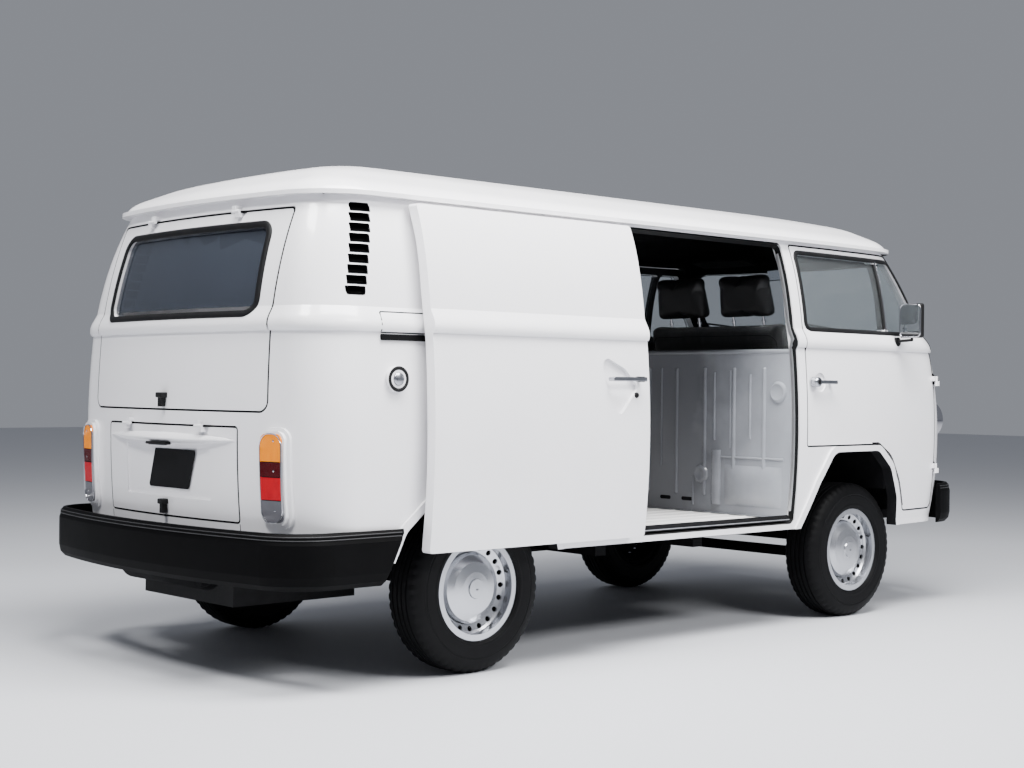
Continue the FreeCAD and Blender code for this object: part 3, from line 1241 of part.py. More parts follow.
def main():
    os.makedirs("parts", exist_ok=True)
    body = body_solid()
    near_body = body_solid(FIT)
    fixed, parts = build_shell()
    parts.update(split_fixed(fixed))
    arch_panels = []
    for hand, side in (("left", 1), ("right", -1)):
        flare = arch_flare(FRONT_AXLE_X, FRONT_ARCH, side)
        flare = flare.cut(side_prism(door_outline(), DOOR_RADII, side, SHUT_GAP))
        arch_panels += parts.pop(f"arch_panel_{hand}").fuse(flare).Solids
        parts[f"side_panel_{hand}"] = parts[f"side_panel_{hand}"].fuse(
            arch_flare(REAR_AXLE_X, REAR_ARCH, side)
        )
    parts["arch_panels"] = Part.makeCompound(arch_panels)
    add_pressings(parts)
    add_hinges(parts)
    parts["sliding_door"].translate(Vector(-SLIDE_RUN, -SLIDE_OUT, 0))
    parts["roof"] = build_roof()
    parts.update(build_wheels())
    knuckle = build_knuckle()
    parts["knuckle_left"] = knuckle
    parts["knuckle_right"] = mirrored(knuckle)
    parts["front_axle"] = build_front_axle()
    parts["rear_suspension"] = build_rear_suspension()
    room = cabin_solid(FIT)
    room_near = cabin_solid(SWING_ROOM)
    margins = [door_margin(room_near, side) for side in (1, -1)]
    parts.update(build_floors(room, margins))
    parts["bulkhead"] = build_bulkhead(room)
    parts["seat_driver"] = seat(DRIVER_Y - SEAT_HALF, DRIVER_Y + SEAT_HALF, (DRIVER_Y,))
    parts["seat_bench"] = seat(BENCH_RIGHT, BENCH_LEFT, BENCH_HEADS)
    parts["dashboard"] = build_dashboard(room, margins)
    parts["steering_wheel"] = build_steering()
    parts.update(build_bumpers())
    parts["frame_rails"] = build_frame()
    parts["powertrain"] = build_powertrain()
    parts.update(build_lamps(body))
    parts.update(build_fittings(near_body))
    near_door = near_body.copy()
    near_door.translate(Vector(-SLIDE_RUN, -SLIDE_OUT, 0))
    parts.update(build_slide_gear(near_body, near_door))
    parts.update(build_tail_fittings(near_body))
    for name, shape in parts.items():
        solids_of(shape).exportStep(f"parts/{name}.step")


main()
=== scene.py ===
import math

import bmesh
import bpy
from mathutils import Matrix, Vector
from mathutils.bvhtree import BVHTree


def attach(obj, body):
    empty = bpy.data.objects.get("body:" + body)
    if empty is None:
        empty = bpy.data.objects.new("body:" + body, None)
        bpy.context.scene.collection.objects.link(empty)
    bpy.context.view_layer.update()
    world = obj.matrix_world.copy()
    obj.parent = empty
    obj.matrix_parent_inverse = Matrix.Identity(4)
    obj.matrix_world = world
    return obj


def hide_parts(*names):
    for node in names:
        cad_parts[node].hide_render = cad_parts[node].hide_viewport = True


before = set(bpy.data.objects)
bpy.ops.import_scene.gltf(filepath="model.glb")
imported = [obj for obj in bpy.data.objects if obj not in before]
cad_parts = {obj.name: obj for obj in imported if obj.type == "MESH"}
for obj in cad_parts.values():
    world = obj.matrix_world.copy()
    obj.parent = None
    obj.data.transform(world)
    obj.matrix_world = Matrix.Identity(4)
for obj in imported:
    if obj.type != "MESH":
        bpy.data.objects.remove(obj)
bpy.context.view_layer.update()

# Places in metres in the part's own frame: +X forward, +Y to the left, +Z up
REAR_AXLE = -1.2525
FRONT_AXLE = 1.1475
WHEEL_Z = 0.318
HALF_TRACKS = {"front": 0.6975, "rear": 0.72}
SIDES = (("left", 1), ("right", -1))
SHUT_GAP = 0.008
DOOR_RUN = 1.072
FORWARD = Vector((1, 0, 0))
LEFTWARD = Vector((0, 1, 0))
UP = Vector((0, 0, 1))


def ahead(x):
    """Turns metres ahead of the rear axle into the part's own x."""
    return REAR_AXLE + x


def at(x, y, z):
    """Place at metres ahead of the rear axle, to the left and up."""
    return Vector((ahead(x), y, z))


def mm(*numbers):
    """Pairs in metres from a row of millimetres."""
    return [(a / 1000, b / 1000) for a, b in zip(numbers[::2], numbers[1::2])]


def turn_about(axis, degrees):
    return Matrix.Rotation(math.radians(degrees), 3, axis)


# Camera and studio
CAMERA_PLACE = (ahead(-4.037), -5.3612, 1.085)
CAMERA_ANGLES = (47.3627, 0.064, 0.5666)
FOCAL_PIXELS = 1615.8
PICTURE_PIXELS = 1024
SENSOR_MM = 36.0
FLOOR_HALF = 30


def placed(name, data):
    """New object of some data in the scene."""
    obj = bpy.data.objects.new(name, data)
    bpy.context.scene.collection.objects.link(obj)
    return obj


def make_camera():
    """Camera fitted to the photograph by the van's wheelbase, length and width."""
    yaw, pitch, roll = CAMERA_ANGLES
    turn = turn_about("Z", yaw - 90) @ turn_about("X", pitch + 90) @ turn_about("Z", roll)
    data = bpy.data.cameras.new("camera")
    data.sensor_width = SENSOR_MM
    data.lens = FOCAL_PIXELS / PICTURE_PIXELS * SENSOR_MM
    data.clip_end = 200.0
    cam = placed("camera", data)
    cam.matrix_world = Matrix.Translation(CAMERA_PLACE) @ turn.to_4x4()
    bpy.context.scene.camera = cam


def area_light(name, place, target, size, power):
    data = bpy.data.lights.new(name, "AREA")
    data.shape = "RECTANGLE"
    data.size, data.size_y = size
    data.energy = power
    light = placed(name, data)
    light.location = place
    light.rotation_mode = "QUATERNION"
    light.rotation_quaternion = (Vector(target) - Vector(place)).to_track_quat("-Z", "Y")


def make_studio():
    world = bpy.data.worlds.new("studio")
    world.use_nodes = True
    sky = world.node_tree.nodes["Background"].inputs
    sky["Color"].default_value = (0.86, 0.9, 1.0, 1)
    sky["Strength"].default_value = 0.30
    bpy.context.scene.world = world
    area_light("top_light", (-1.2, -2.2, 5.4), (-0.4, -0.3, 0.9), (4.4, 2.0), 1000)
    area_light("side_light", (0.8, -7.0, 5.4), (0, 0, 1.3), (4.0, 1.6), 560)
    area_light("tail_light", (-6.0, -0.6, 6.6), (-1.9, 0, 1.2), (1.8, 1.4), 470)
    mesh = bpy.data.meshes.new("studio_floor")
    corners = ((-1, -1), (1, -1), (1, 1), (-1, 1))
    mesh.from_pydata([(FLOOR_HALF * a, FLOOR_HALF * b, 0) for a, b in corners], [], [(0, 1, 2, 3)])
    mesh.materials.append(surface("studio_floor", (0.56, 0.57, 0.60), 0.6))
    floor = placed("studio_floor", mesh)


# Materials
WAVES_PER_SCALE = 3.1


def node(mat, kind, inputs=None, **settings):
    """New shader node, with values for its input sockets and its own settings."""
    made = mat.node_tree.nodes.new("ShaderNode" + kind)
    for setting, value in settings.items():
        setattr(made, setting, value)
    for socket, value in (inputs or {}).items():
        made.inputs[socket].default_value = value
    return made


def link(mat, source, output, target, socket):
    mat.node_tree.links.new(source.outputs[output], target.inputs[socket])


def texture(mat, kind, inputs, **settings):
    """Texture node over the object's own coordinates."""
    made = node(mat, "Tex" + kind, inputs, **settings)
    link(mat, node(mat, "TexCoord"), "Object", made, "Vector")
    return made


def raised(mat, source, output, height):
    """Lets a node's output raise the surface, up to a height in metres."""
    bump = node(mat, "Bump", {"Distance": height})
    link(mat, source, output, bump, "Height")
    link(mat, bump, "Normal", mat.node_tree.nodes["Principled BSDF"], "Normal")


def tinted(mat, source, output, *stops):
    """Lets a node's output choose the colour between two (position, colour) stops."""
    ramp = node(mat, "ValToRGB")
    for element, (position, colour) in zip(ramp.color_ramp.elements, stops):
        element.position = position
        element.color = (*colour, 1)
    link(mat, source, output, ramp, "Fac")
    link(mat, ramp, "Color", mat.node_tree.nodes["Principled BSDF"], "Base Color")


def surface(name, colour, rough, vary=None, grain=None, gloss=None, metallic=0.0, rough_vary=0.0, **more):
    """Material with an optional drift of tone (scale, share) and fine grain (scale, height in metres)."""
    mat = bpy.data.materials.new(name)
    mat.use_nodes = True
    shader = mat.node_tree.nodes["Principled BSDF"]
    shader.inputs["Base Color"].default_value = (*colour, 1)
    shader.inputs["Roughness"].default_value = rough
    shader.inputs["Metallic"].default_value = metallic
    if gloss is not None:
        more["Specular_IOR_Level"] = gloss
    for socket, value in more.items():
        shader.inputs[socket.replace("_", " ")].default_value = value
    if grain:
        scale, height = grain
        raised(mat, texture(mat, "Noise", {"Scale": scale, "Detail": 3.0}), "Fac", height)
    if vary:
        scale, share = vary
        drift = texture(mat, "Noise", {"Scale": scale, "Detail": 5.0, "Roughness": 0.6})
        light = [min(1.0, c * (1 + share)) for c in colour]
        tinted(mat, drift, "Fac", (0.3, [c * (1 - share) for c in colour]), (0.7, light))
        if rough_vary:
            ends = {"To Min": max(0.02, rough - rough_vary), "To Max": min(1.0, rough + rough_vary)}
            spread = node(mat, "MapRange", ends)
            link(mat, drift, "Fac", spread, "Value")
            link(mat, spread, "Result", shader, "Roughness")
    return mat


def woven(name, colour, pitch, height):
    """Cloth with crossing threads at a pitch in metres."""
    mat = surface(name, colour, 0.85, (9, 0.25), Sheen_Weight=0.5, Sheen_Roughness=0.45)
    total, output = None, "Fac"
    inputs = {"Scale": 1.0 / pitch / WAVES_PER_SCALE, "Distortion": 0.6}
    for axis in "XYZ":
        wave = texture(mat, "Wave", inputs, bands_direction=axis)
        if total is None:
            total = wave
            continue
        both = node(mat, "Math", operation="ADD")
        link(mat, total, output, both, 0)
        link(mat, wave, "Fac", both, 1)
        total, output = both, "Value"
    raised(mat, total, output, height)
    return mat


def lens(name, colour, flutes):
    """Clear moulded plastic with fine upright flutes at a pitch in metres, and a faint painted glow in its
    own colour.
    """
    mat = surface(name, colour, 0.25, (30, 0.12), None, 0.15, Emission_Color=(*colour, 1),
                  Emission_Strength=0.25)
    wave = texture(mat, "Wave", {"Scale": 1.0 / flutes / WAVES_PER_SCALE}, bands_direction="Y")
    raised(mat, wave, "Fac", 0.0015)
    return mat


def shaded_across(name, light, dark, y_light, y_dark):
    """Gloss paint with scuffs and painted shade that darkens it across the van, from a lit tone at one y to a
    shaded tone at another.
    """
    mat = surface(name, light, 0.27, grain=(90.0, 0.0003), Coat_Weight=0.6, Coat_Roughness=0.12)
    parts = node(mat, "SeparateXYZ")
    share = node(mat, "MapRange", {"From Min": y_light, "From Max": y_dark})
    scuffs = texture(mat, "Noise", {"Scale": 5.0, "Detail": 6.0})
    mix = node(mat, "Math", {1: 0.5}, operation="MULTIPLY_ADD")
    link(mat, node(mat, "TexCoord"), "Object", parts, "Vector")
    link(mat, parts, "Y", share, "Value")
    link(mat, scuffs, "Fac", mix, 0)
    link(mat, share, "Result", mix, 2)
    tinted(mat, mix, "Value", (0.25, light), (1.1 / 1.2, dark))
    return mat


LOOKS = {
    "paint": surface("white_paint", (0.87, 0.86, 0.88), 0.34, (2.2, 0.018), (420, 0.00004), rough_vary=0.05,
                     Coat_Weight=0.55, Coat_Roughness=0.09),
    "floor_paint": surface("floor_paint", (0.74, 0.73, 0.72), 0.5, (7, 0.07), (160, 0.0002)),
    # The bulkhead's paint darkens from the sliding door's side towards the van's middle: painted shade.
    "bulkhead_paint_shaded": shaded_across("bulkhead_paint_shaded", (0.40, 0.42, 0.46), (0.115, 0.12, 0.135), -0.80, 0.10),
    "underseal": surface("underseal", (0.008, 0.008, 0.009), 0.85, (12, 0.4), (140, 0.0012), 0.12),
    "rubber": surface("rubber", (0.006, 0.006, 0.0065), 0.5, (40, 0.25), (900, 0.00008), 0.15),
    "tyre": surface("tyre_rubber", (0.003, 0.003, 0.0034), 0.6, (18, 0.3), (700, 0.0001), 0.1,
                    rough_vary=0.08),
    "rim": surface("rim_silver", (0.50, 0.51, 0.54), 0.26, (3, 0.03), (700, 0.00002), None, 0.9, 0.02,
                   Coat_Weight=0.3),
    "chrome": surface("bright_chrome", (0.52, 0.52, 0.55), 0.12, (12, 0.05), metallic=1.0, rough_vary=0.04),
    "handle": surface("handle_chrome", (0.40, 0.41, 0.44), 0.26, (12, 0.08), metallic=1.0, rough_vary=0.04),
    "glass": surface("clear_glass", (0.74, 0.79, 0.81), 0.02, (3, 0.03), Transmission_Weight=0.96, IOR=1.2),
    "dark_glass": surface("dark_glass", (0.085, 0.10, 0.13), 0.03, (3, 0.03), Transmission_Weight=0.7,
                          IOR=1.3),
    "mirror": surface("mirror_glass", (0.86, 0.88, 0.92), 0.03, (6, 0.02), metallic=1.0),
    "bumper": surface("bumper_plastic", (0.0015, 0.0015, 0.0017), 0.55, (6, 0.25), (380, 0.0003), 0.05,
                      rough_vary=0.08),
    # Black plastic; also painted shade on the doors' inner frames at the window.
    "plastic": surface("black_plastic", (0.007, 0.007, 0.0075), 0.45, (25, 0.2), (650, 0.0002), 0.2),
    # Near-black lining: painted shade under the roof, on the sun visors and on upper inner frames.
    "liner": surface("roof_liner", (0.010, 0.010, 0.011), 0.95, (14, 0.3), (320, 0.0006), 0.1),
    # Black chassis, made near black so that its lit faces under the van stay dark; also the rims' backs:
    # partly painted shade.
    "chassis": surface("chassis_black", (0.003, 0.003, 0.0034), 0.7, (15, 0.35), (220, 0.0004), 0.06),
    # Cast alloy made near black so that the powertrain melts into the shade under the van: painted shade.
    "alloy": surface("cast_alloy", (0.008, 0.008, 0.0085), 0.7, (20, 0.25), (200, 0.0006), 0.2, 0.2),
    "cloth": woven("seat_cloth", (0.020, 0.020, 0.022), 0.0022, 0.0004),
    "vinyl": surface("seat_vinyl", (0.010, 0.010, 0.011), 0.42, (11, 0.25), (480, 0.0004), 0.3),
    # The lamp lenses, indicators and dial marks glow faintly: painted light.
    "amber": lens("amber_lens", (0.86, 0.24, 0.0), 0.006),
    "dark_red": lens("reflector_lens", (0.055, 0.0, 0.002), 0.004),
    "red": lens("red_lens", (0.42, 0.0, 0.008), 0.006),
    "clear": lens("reverse_lens", (0.11, 0.11, 0.125), 0.005),
    "plate": surface("blank_plate", (0.004, 0.004, 0.0045), 0.5, (20, 0.2), gloss=0.1),
    "silver": surface("sill_silver", (0.62, 0.63, 0.65), 0.3, (30, 0.08), (300, 0.0001), metallic=0.9),
    "trim_grey": surface("satin_grey", (0.028, 0.028, 0.030), 0.45, (20, 0.1), (400, 0.0001), metallic=0.2),
    # Black for gaps, seams, slots and dial faces; also painted shade in the vents and along the doors' arch
    # edges.
    "slot": surface("slot_black", (0.004, 0.004, 0.005), 0.9, (30, 0.2), gloss=0.1),
}


# Mesh helpers. A shape is a pair of vertices and faces
def finish_piece(name, mesh, look, body="body", smooth=40.0):
    mesh.polygons.foreach_set("use_smooth", [True] * len(mesh.polygons))
    mesh.set_sharp_from_angle(angle=math.radians(smooth))
    mesh.materials.append(LOOKS[look])
    obj = placed(name, mesh)
    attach(obj, body)
    return obj


def piece(name, shape, look, body="body", smooth=40.0):
    """Makes an object of a shape, with a look, that rides on a body."""
    verts, faces = shape
    mesh = bpy.data.meshes.new(name)
    mesh.from_pydata([tuple(v) for v in verts], [], faces)
    bm = bmesh.new()
    bm.from_mesh(mesh)
    bmesh.ops.recalc_face_normals(bm, faces=bm.faces)
    bm.to_mesh(mesh)
    bm.free()
    return finish_piece(name, mesh, look, body, smooth)


def joined(name, shapes, look, body="body", smooth=40.0):
    """One piece from several shapes."""
    verts, faces = [], []
    for some_verts, some_faces in shapes:
        base = len(verts)
        verts += list(some_verts)
        faces += [[base + i for i in f] for f in some_faces]
    return piece(name, (verts, faces), look, body, smooth)


def thicken(obj, thickness, offset=-1.0):
    solid = obj.modifiers.new("depth", "SOLIDIFY")
    solid.thickness = thickness
    solid.offset = offset


def swept_faces(count, width, closed=False, ring=False):
    """Faces between neighbouring rows of points. Rows can be rings, and the last row can meet the first."""
    faces = []
    for i in range(count if closed else count - 1):
        here, there = i * width, (i + 1) % count * width
        for k in range(width if ring else width - 1):
            j = (k + 1) % width
            faces.append((here + k, here + j, there + j, there + k))
    if ring and not closed:
        faces += [list(range(width))[::-1], [(count - 1) * width + k for k in range(width)]]
    return faces


def sheet(rows, columns, point):
    """Open sheet over a grid, where the rule turns two shares from 0 to 1 into a point."""
    verts = [point(i / rows, j / columns) for i in range(rows + 1) for j in range(columns + 1)]
    return verts, swept_faces(rows + 1, columns + 1)


def block(centre, size, turn=None, bevel=0.003):
    """Box with bevelled edges."""
    bm = bmesh.new()
    bmesh.ops.create_cube(bm, size=1.0)
    for v in bm.verts:
        v.co = Vector(a * b for a, b in zip(v.co, size))
    bmesh.ops.bevel(bm, geom=bm.edges[:], offset=min(bevel, 0.45 * min(size)), segments=2, affect="EDGES")
    bm.verts.index_update()
    place = Matrix.Translation(centre) @ (turn.to_4x4() if turn else Matrix())
    shape = [place @ v.co for v in bm.verts], [[v.index for v in f.verts] for f in bm.faces]
    bm.free()
    return shape


def turned(profile, place, axis, segments=64, arm=None):
    """Surface turned about an axis through a place, from (radius, height along the axis) pairs."""
    axis = axis.normalized()
    arm = arm or axis.orthogonal().normalized()
    other = axis.cross(arm)
    verts = []
    for k in range(segments):
        angle = 2 * math.pi * k / segments
        spoke = arm * math.cos(angle) + other * math.sin(angle)
        verts += [place + spoke * radius + axis * height for radius, height in profile]
    return verts, swept_faces(segments, len(profile), closed=True)


def prism(points, offset):
    """Flat plate between a ring of points and the same ring moved by an offset."""
    count = len(points)
    faces = [list(range(count)), list(range(2 * count - 1, count - 1, -1))]
    faces += [(i, (i + 1) % count, count + (i + 1) % count, count + i) for i in range(count)]
    return list(points) + [p + offset for p in points], faces


def around(items, i, closed):
    """The items before and after one, which stands in for the missing one at an open end."""
    last = len(items) - 1
    return items[i - 1 if closed or i else i], items[(i + 1) % len(items) if closed or i < last else i]


def tube(points, radius, sides=12, closed=False):
    """Round bar along straight or curved points, with its ends closed."""
    verts = []
    normal = None
    for i, point in enumerate(points):
        before, after = around(points, i, closed)
        along = (after - before).normalized()
        if normal is None:
            normal = along.orthogonal().normalized()
        normal = (normal - along * normal.dot(along)).normalized()
        across = along.cross(normal)
        for k in range(sides):
            angle = 2 * math.pi * k / sides
            verts.append(point + (normal * math.cos(angle) + across * math.sin(angle)) * radius)
    return verts, swept_faces(len(points), sides, closed, ring=True)


def strip(path, section, closed=True):
    """Solid strip along (point, outward normal) pairs, from (across, out) pairs of its cross section."""
    verts = []
    for i, (point, out) in enumerate(path):
        before, after = around(path, i, closed)
        across = out.cross(after[0] - before[0]).normalized()
        verts += [point + across * a + out * b for a, b in section]
    return verts, swept_faces(len(path), len(section), closed, ring=True)


def bead(path, width, height, sunk=0.001, steps=6, closed=True):
    """Rounded strip that stands on a surface."""
    angles = [math.pi * k / steps for k in range(steps + 1)]
    ring = [(-width / 2 * math.cos(a), height * math.sin(a)) for a in angles]
    return strip(path, [(-width / 2, -sunk), *ring, (width / 2, -sunk)], closed)


# Outlines in a side view or an end view, and the surfaces under them
def rounded(points, radius, step=0.02, closed=True):
    """Points at about a step along an outline with rounded corners, each with its outward direction."""
    points = [Vector(p) for p in points]
    radii = radius if isinstance(radius, list) else [radius] * len(points)
    track = []
    count = len(points)
    for i, here in enumerate(points):
        if not closed and i in (0, count - 1):
            track.append(here)
            continue
        before = points[i - 1] - here
        after = points[(i + 1) % count] - here
        half = before.angle(after) / 2
        reach = min(radii[i] / math.tan(half), 0.48 * before.length, 0.48 * after.length)
        real = reach * math.tan(half)
        middle = (before.normalized() + after.normalized()).normalized()
        centre = here + middle * (real / math.sin(half))
        start = here + before.normalized() * reach - centre
        sweep = start.angle_signed(here + after.normalized() * reach - centre)
        turns = max(2, int(abs(sweep) * real / step * 2) + 4)
        for k in range(turns + 1):
            cos, sin = math.cos(-sweep * k / turns), math.sin(-sweep * k / turns)
            track.append(centre + Vector((start.x * cos - start.y * sin, start.x * sin + start.y * cos)))
    dense = []
    for i in range(len(track) if closed else len(track) - 1):
        a, b = track[i], track[(i + 1) % len(track)]
        runs = max(1, int((b - a).length / step))
        dense += [a.lerp(b, k / runs) for k in range(runs)]
    if not closed:
        dense.append(track[-1])
    result = []
    for i, here in enumerate(dense):
        before, after = around(dense, i, closed)
        along = (after - before).normalized()
        result.append((here, Vector((along.y, -along.x))))
    return result


def tree_of(*names):
    """Search tree over the faces of CAD nodes, in the part's frame."""
    verts, faces = [], []
    for name in names:
        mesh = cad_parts[name].data
        base = len(verts)
        verts += [v.co.copy() for v in mesh.vertices]
        faces += [[base + i for i in p.vertices] for p in mesh.polygons]
    return BVHTree.FromPolygons(verts, faces)


VIEWS = {
    "right": (lambda a, b: Vector((a, -1.6, b)), LEFTWARD),
    "left": (lambda a, b: Vector((a, 1.6, b)), -LEFTWARD),
    "tail": (lambda a, b: Vector((-3.0, a, b)), FORWARD),
    "nose": (lambda a, b: Vector((3.0, a, b)), -FORWARD),
}


def land(tree, view, a, b):
    """Place and outward normal where a ray from that side first meets the tree."""
    start, way = VIEWS[view]
    place, normal, _, _ = tree.ray_cast(start(a, b), way)
    if place is None:
        return None
    return place, normal if normal.dot(way) < 0 else -normal


def path_on(tree, view, outline, radius, shift=0.0, probe=None, step=0.02, closed=True):
    """Path over a surface along an outline moved off its side. The depth is read at the probe's distance."""
    probe = shift if probe is None else probe
    path = []
    for here, side in rounded(outline, radius, step, closed):
        spot = here + side * probe
        hit = land(tree, view, spot.x, spot.y)
        if hit is None:
            continue
        place, normal = hit
        moved = here + side * shift
        start, way = VIEWS[view]
        there = start(moved.x, moved.y)
        path.append((there + way * (place - there).dot(way), normal))
    return smoothed(path, closed)


def smoothed(path, closed=False):
    """The path with its normals averaged over their neighbours."""
    count = len(path)
    result = []
    for i, (point, _) in enumerate(path):
        near = [j % count for j in range(i - 2, i + 3) if closed or 0 <= j < count]
        total = sum((path[j][1] for j in near), Vector((0, 0, 0)))
        result.append((point, total.normalized()))
    return result


def side_outline(*numbers):
    """Outline in a side view, from millimetres ahead of the rear axle and up."""
    return [(ahead(x), z) for x, z in mm(*numbers)]


def box_outline(x, z, half_x, half_z):
    return [(x + a * half_x, z + b * half_z) for a, b in ((-1, -1), (1, -1), (1, 1), (-1, 1))]


# Outlines of the openings, as in the CAD source
DOOR = side_outline(1938, 826, 2520, 826, 2640, 762, 2728, 640, 2790, 494, 3075, 494, 3075, 1262, 3040, 1360,
                    2780, 1742, 1938, 1742)
DOOR_RADII = [0.006, 0.06, 0.15, 0.2, 0.022, 0.03, 0.06, 0.06, 0.024, 0.01]
DOOR_WINDOW = side_outline(1968, 1366, 2992.4, 1366, 2761, 1706, 1968, 1706)
WINDOW_POST_X = ahead(2.632)
SLIDE_FRONT = 1.866
SLIDE_WAY = side_outline(738, 480, 1866, 480, 1866, 1744, 738, 1744)
TAILGATE = mm(-606, 988, 606, 988, 592, 1712, -592, 1712)
TAILGATE_RADII = [0.038, 0.038, 0.012, 0.012]
REAR_GLASS = mm(-512, 1342, 512, 1342, 494, 1652, -494, 1652)
LID = mm(-452, 588, 452, 588, 452, 924, -452, 924)
SCREEN = mm(-700, 1366, 700, 1366, 640, 1716, -640, 1716)
SHELL = ("tail_frame", "side_panel_left", "side_panel_right", "side_frame_right", "windscreen_frame",
         "nose_panel", "arch_panels", "tailgate", "engine_lid", "door_left", "door_right")


# Body trims
def make_seals():
    """Rubber round the panes, dark seals in the gaps of doors and lids, and a painted shadow line along the
    doors' arch edges.
    """
    for hand, _ in SIDES:
        path = path_on(tree_of(f"door_{hand}"), hand, DOOR_WINDOW, 0.026, 0.008)
        piece(f"door_window_seal_{hand}", bead(path, 0.024, 0.006), "rubber", f"door_{hand}")
    path = path_on(tree_of("tailgate"), "tail", REAR_GLASS, 0.046, 0.009)
    piece("rear_window_seal", bead(path, 0.028, 0.007), "rubber", "tailgate")
    path = path_on(tree_of("windscreen_frame", "nose_panel"), "nose", SCREEN, 0.094, 0.010)
    piece("windscreen_seal", bead(path, 0.030, 0.007), "rubber")
    skin = tree_of(*SHELL)
    for name, view, outline, radii in (("door_gap_seal_left", "left", DOOR, DOOR_RADII),
                                       ("door_gap_seal_right", "right", DOOR, DOOR_RADII),
                                       ("tailgate_gap_seal", "tail", TAILGATE, TAILGATE_RADII),
                                       ("lid_gap_seal", "tail", LID, 0.01)):
        path = path_on(skin, view, outline, radii, SHUT_GAP / 2, -0.006)
        piece(name, strip(path, mm(-3.2, -20, -3.2, -2, 3.2, -2, 3.2, -20)), "slot")
    # A thin dark bead on each door's edge round the arch: the gap's painted shadow.
    arch = [(ahead(2.46), DOOR[1][1])] + DOOR[1:5]
    for hand, _ in SIDES:
        path = path_on(tree_of(f"door_{hand}"), hand, arch, DOOR_RADII[:5], -0.003, -0.004, closed=False)
        piece(f"door_gap_shadow_{hand}", bead(path, 0.0065, 0.0005, 0.001, 4, False), "slot", f"door_{hand}")


def make_door_way():
    """Rubber round the sliding door's opening, the silver channel of its post, and the sill's rails."""
    post = tree_of("side_frame_right", "side_panel_right", "arch_panels")
    path = path_on(post, "right", SLIDE_WAY, 0.018, SHUT_GAP - 0.002, SHUT_GAP + 0.006)
    inner = [(point - normal * 0.010, normal) for point, normal in path]
    piece("slide_opening_seal", strip(inner, mm(-4, -22, -4, 2, 3, 6, 6, -22)), "rubber")
    x = ahead(SLIDE_FRONT) + SHUT_GAP - 0.0035
    path = []
    for k in range(31):
        z = 0.53 + 1.17 * k / 30
        place, _ = land(post, "right", x + 0.02, z)
        path.append((Vector((x, place.y + 0.030, z)), -FORWARD))
    channel = mm(-10, -2, -10, 3, -6, 5, 6, 5, 10, 3, 10, -2)
    piece("slide_post_channel", strip(path, channel, False), "silver")
    rear, front = 0.80, 1.845
    y = max(land(post, "right", ahead(u), 0.462)[0].y for u in (rear, 1.30, front)) + 0.004

    def bar(out, z, wide, high, bevel):
        return block(at((rear + front) / 2, y + out, z), (front - rear, wide, high), bevel=bevel)

    rails = [bar(0.030, 0.48975, 0.006, 0.0075, 0.0015), bar(0.050, 0.48875, 0.006, 0.0055, 0.0015),
             bar(-0.001, 0.4925, 0.003, 0.004, 0.001)]
    joined("sill_rail_lines", rails, "silver")
    tracks = [bar(0.030, 0.4875, 0.064, 0.003, 0.001), bar(0.010, 0.499, 0.020, 0.026, 0.004)]
    joined("sill_track", tracks, "rubber")


def make_rail_cover():
    """Dark gap round the cover over the rear end of the sliding door's rail."""
    outline = side_outline(700, 1343, -516, 1343, -516, 1270, 700, 1270)
    tree = tree_of("side_panel_right", "tail_frame")
    path = path_on(tree, "right", outline, 0.008, step=0.015, closed=False)
    piece("rail_cover_gap", bead(path, 0.006, 0.0008, 0.0006, 2, False), "slot")


VENTS = 9
VENT_PITCH = 0.038
VENT_BAR = 0.007


def make_vents():
    """Dark louvres in the slots of the rear corners, black rims round them and a black duct behind them; the
    rims and duct are painted shade in the slots.
    """

    def plate(ends, shift, lean, offset):
        a, b = (end + shift for end in ends)
        return prism([a + lean, b + lean, b - lean, a - lean], offset)

    for hand, side in SIDES:
        tree = tree_of("tail_frame", f"side_panel_{hand}")
        inner, middle = LEFTWARD * side * -0.030, LEFTWARD * side * -0.017
        rims, duct, slats = [], [], []
        for i in range(VENTS):
            x = ahead(-0.646) + 0.068 * i / (VENTS - 1)
            z = 1.400 + (i + 0.5) * VENT_PITCH - VENT_BAR / 2
            spots = [land(tree, hand, x + u, z + VENT_PITCH / 2)[0] for u in (0.002, 0.078)]
            ends = [Vector((spot.x, spot.y, z)) for spot in spots]
            duct.append(plate(ends, inner, UP * (-VENT_PITCH / 2), inner * 0.1))
            slats.append(plate(ends, middle, Vector((0, side * 0.011, -0.009)), UP * 0.0016))
            outline = box_outline(x + 0.040, z, 0.041, (VENT_PITCH - VENT_BAR) / 2)
            radii = [0.014 if i == 0 else 0.003] * 2 + [0.014 if i == VENTS - 1 else 0.003] * 2
            path = path_on(tree, hand, outline, radii, 0.0, 0.003, step=0.012)
            rims.append(bead(path, 0.0034, 0.0005, 0.0006, 2))
        joined(f"vent_shade_rims_{hand}", rims, "slot")
        joined(f"vent_shade_duct_{hand}", duct, "slot")
        joined(f"vent_louvres_{hand}", slats, "bumper")


TYRE_HALF = mm(
    180.5, 66, 195.8, 66.5, 196.2, 83.5, 200, 87.5, 204, 88, 206.5, 90.5, 214, 91.8, 216, 90.8, 224, 91.5,
    242, 92.2, 258, 91.5, 260, 90, 264, 90, 266, 91.2, 276, 89.6, 288, 85, 300, 80, 308, 73, 313, 66,
    316.5, 58, 317.4, 43, 310.5, 41.2, 310.5, 35.5, 317.6, 33.8, 317.8, 16.5, 310.5, 14.8, 310.5, 8.8,
    317.9, 7)
TYRE_SEGMENTS = 156
NOTCH_DEPTH = 0.005


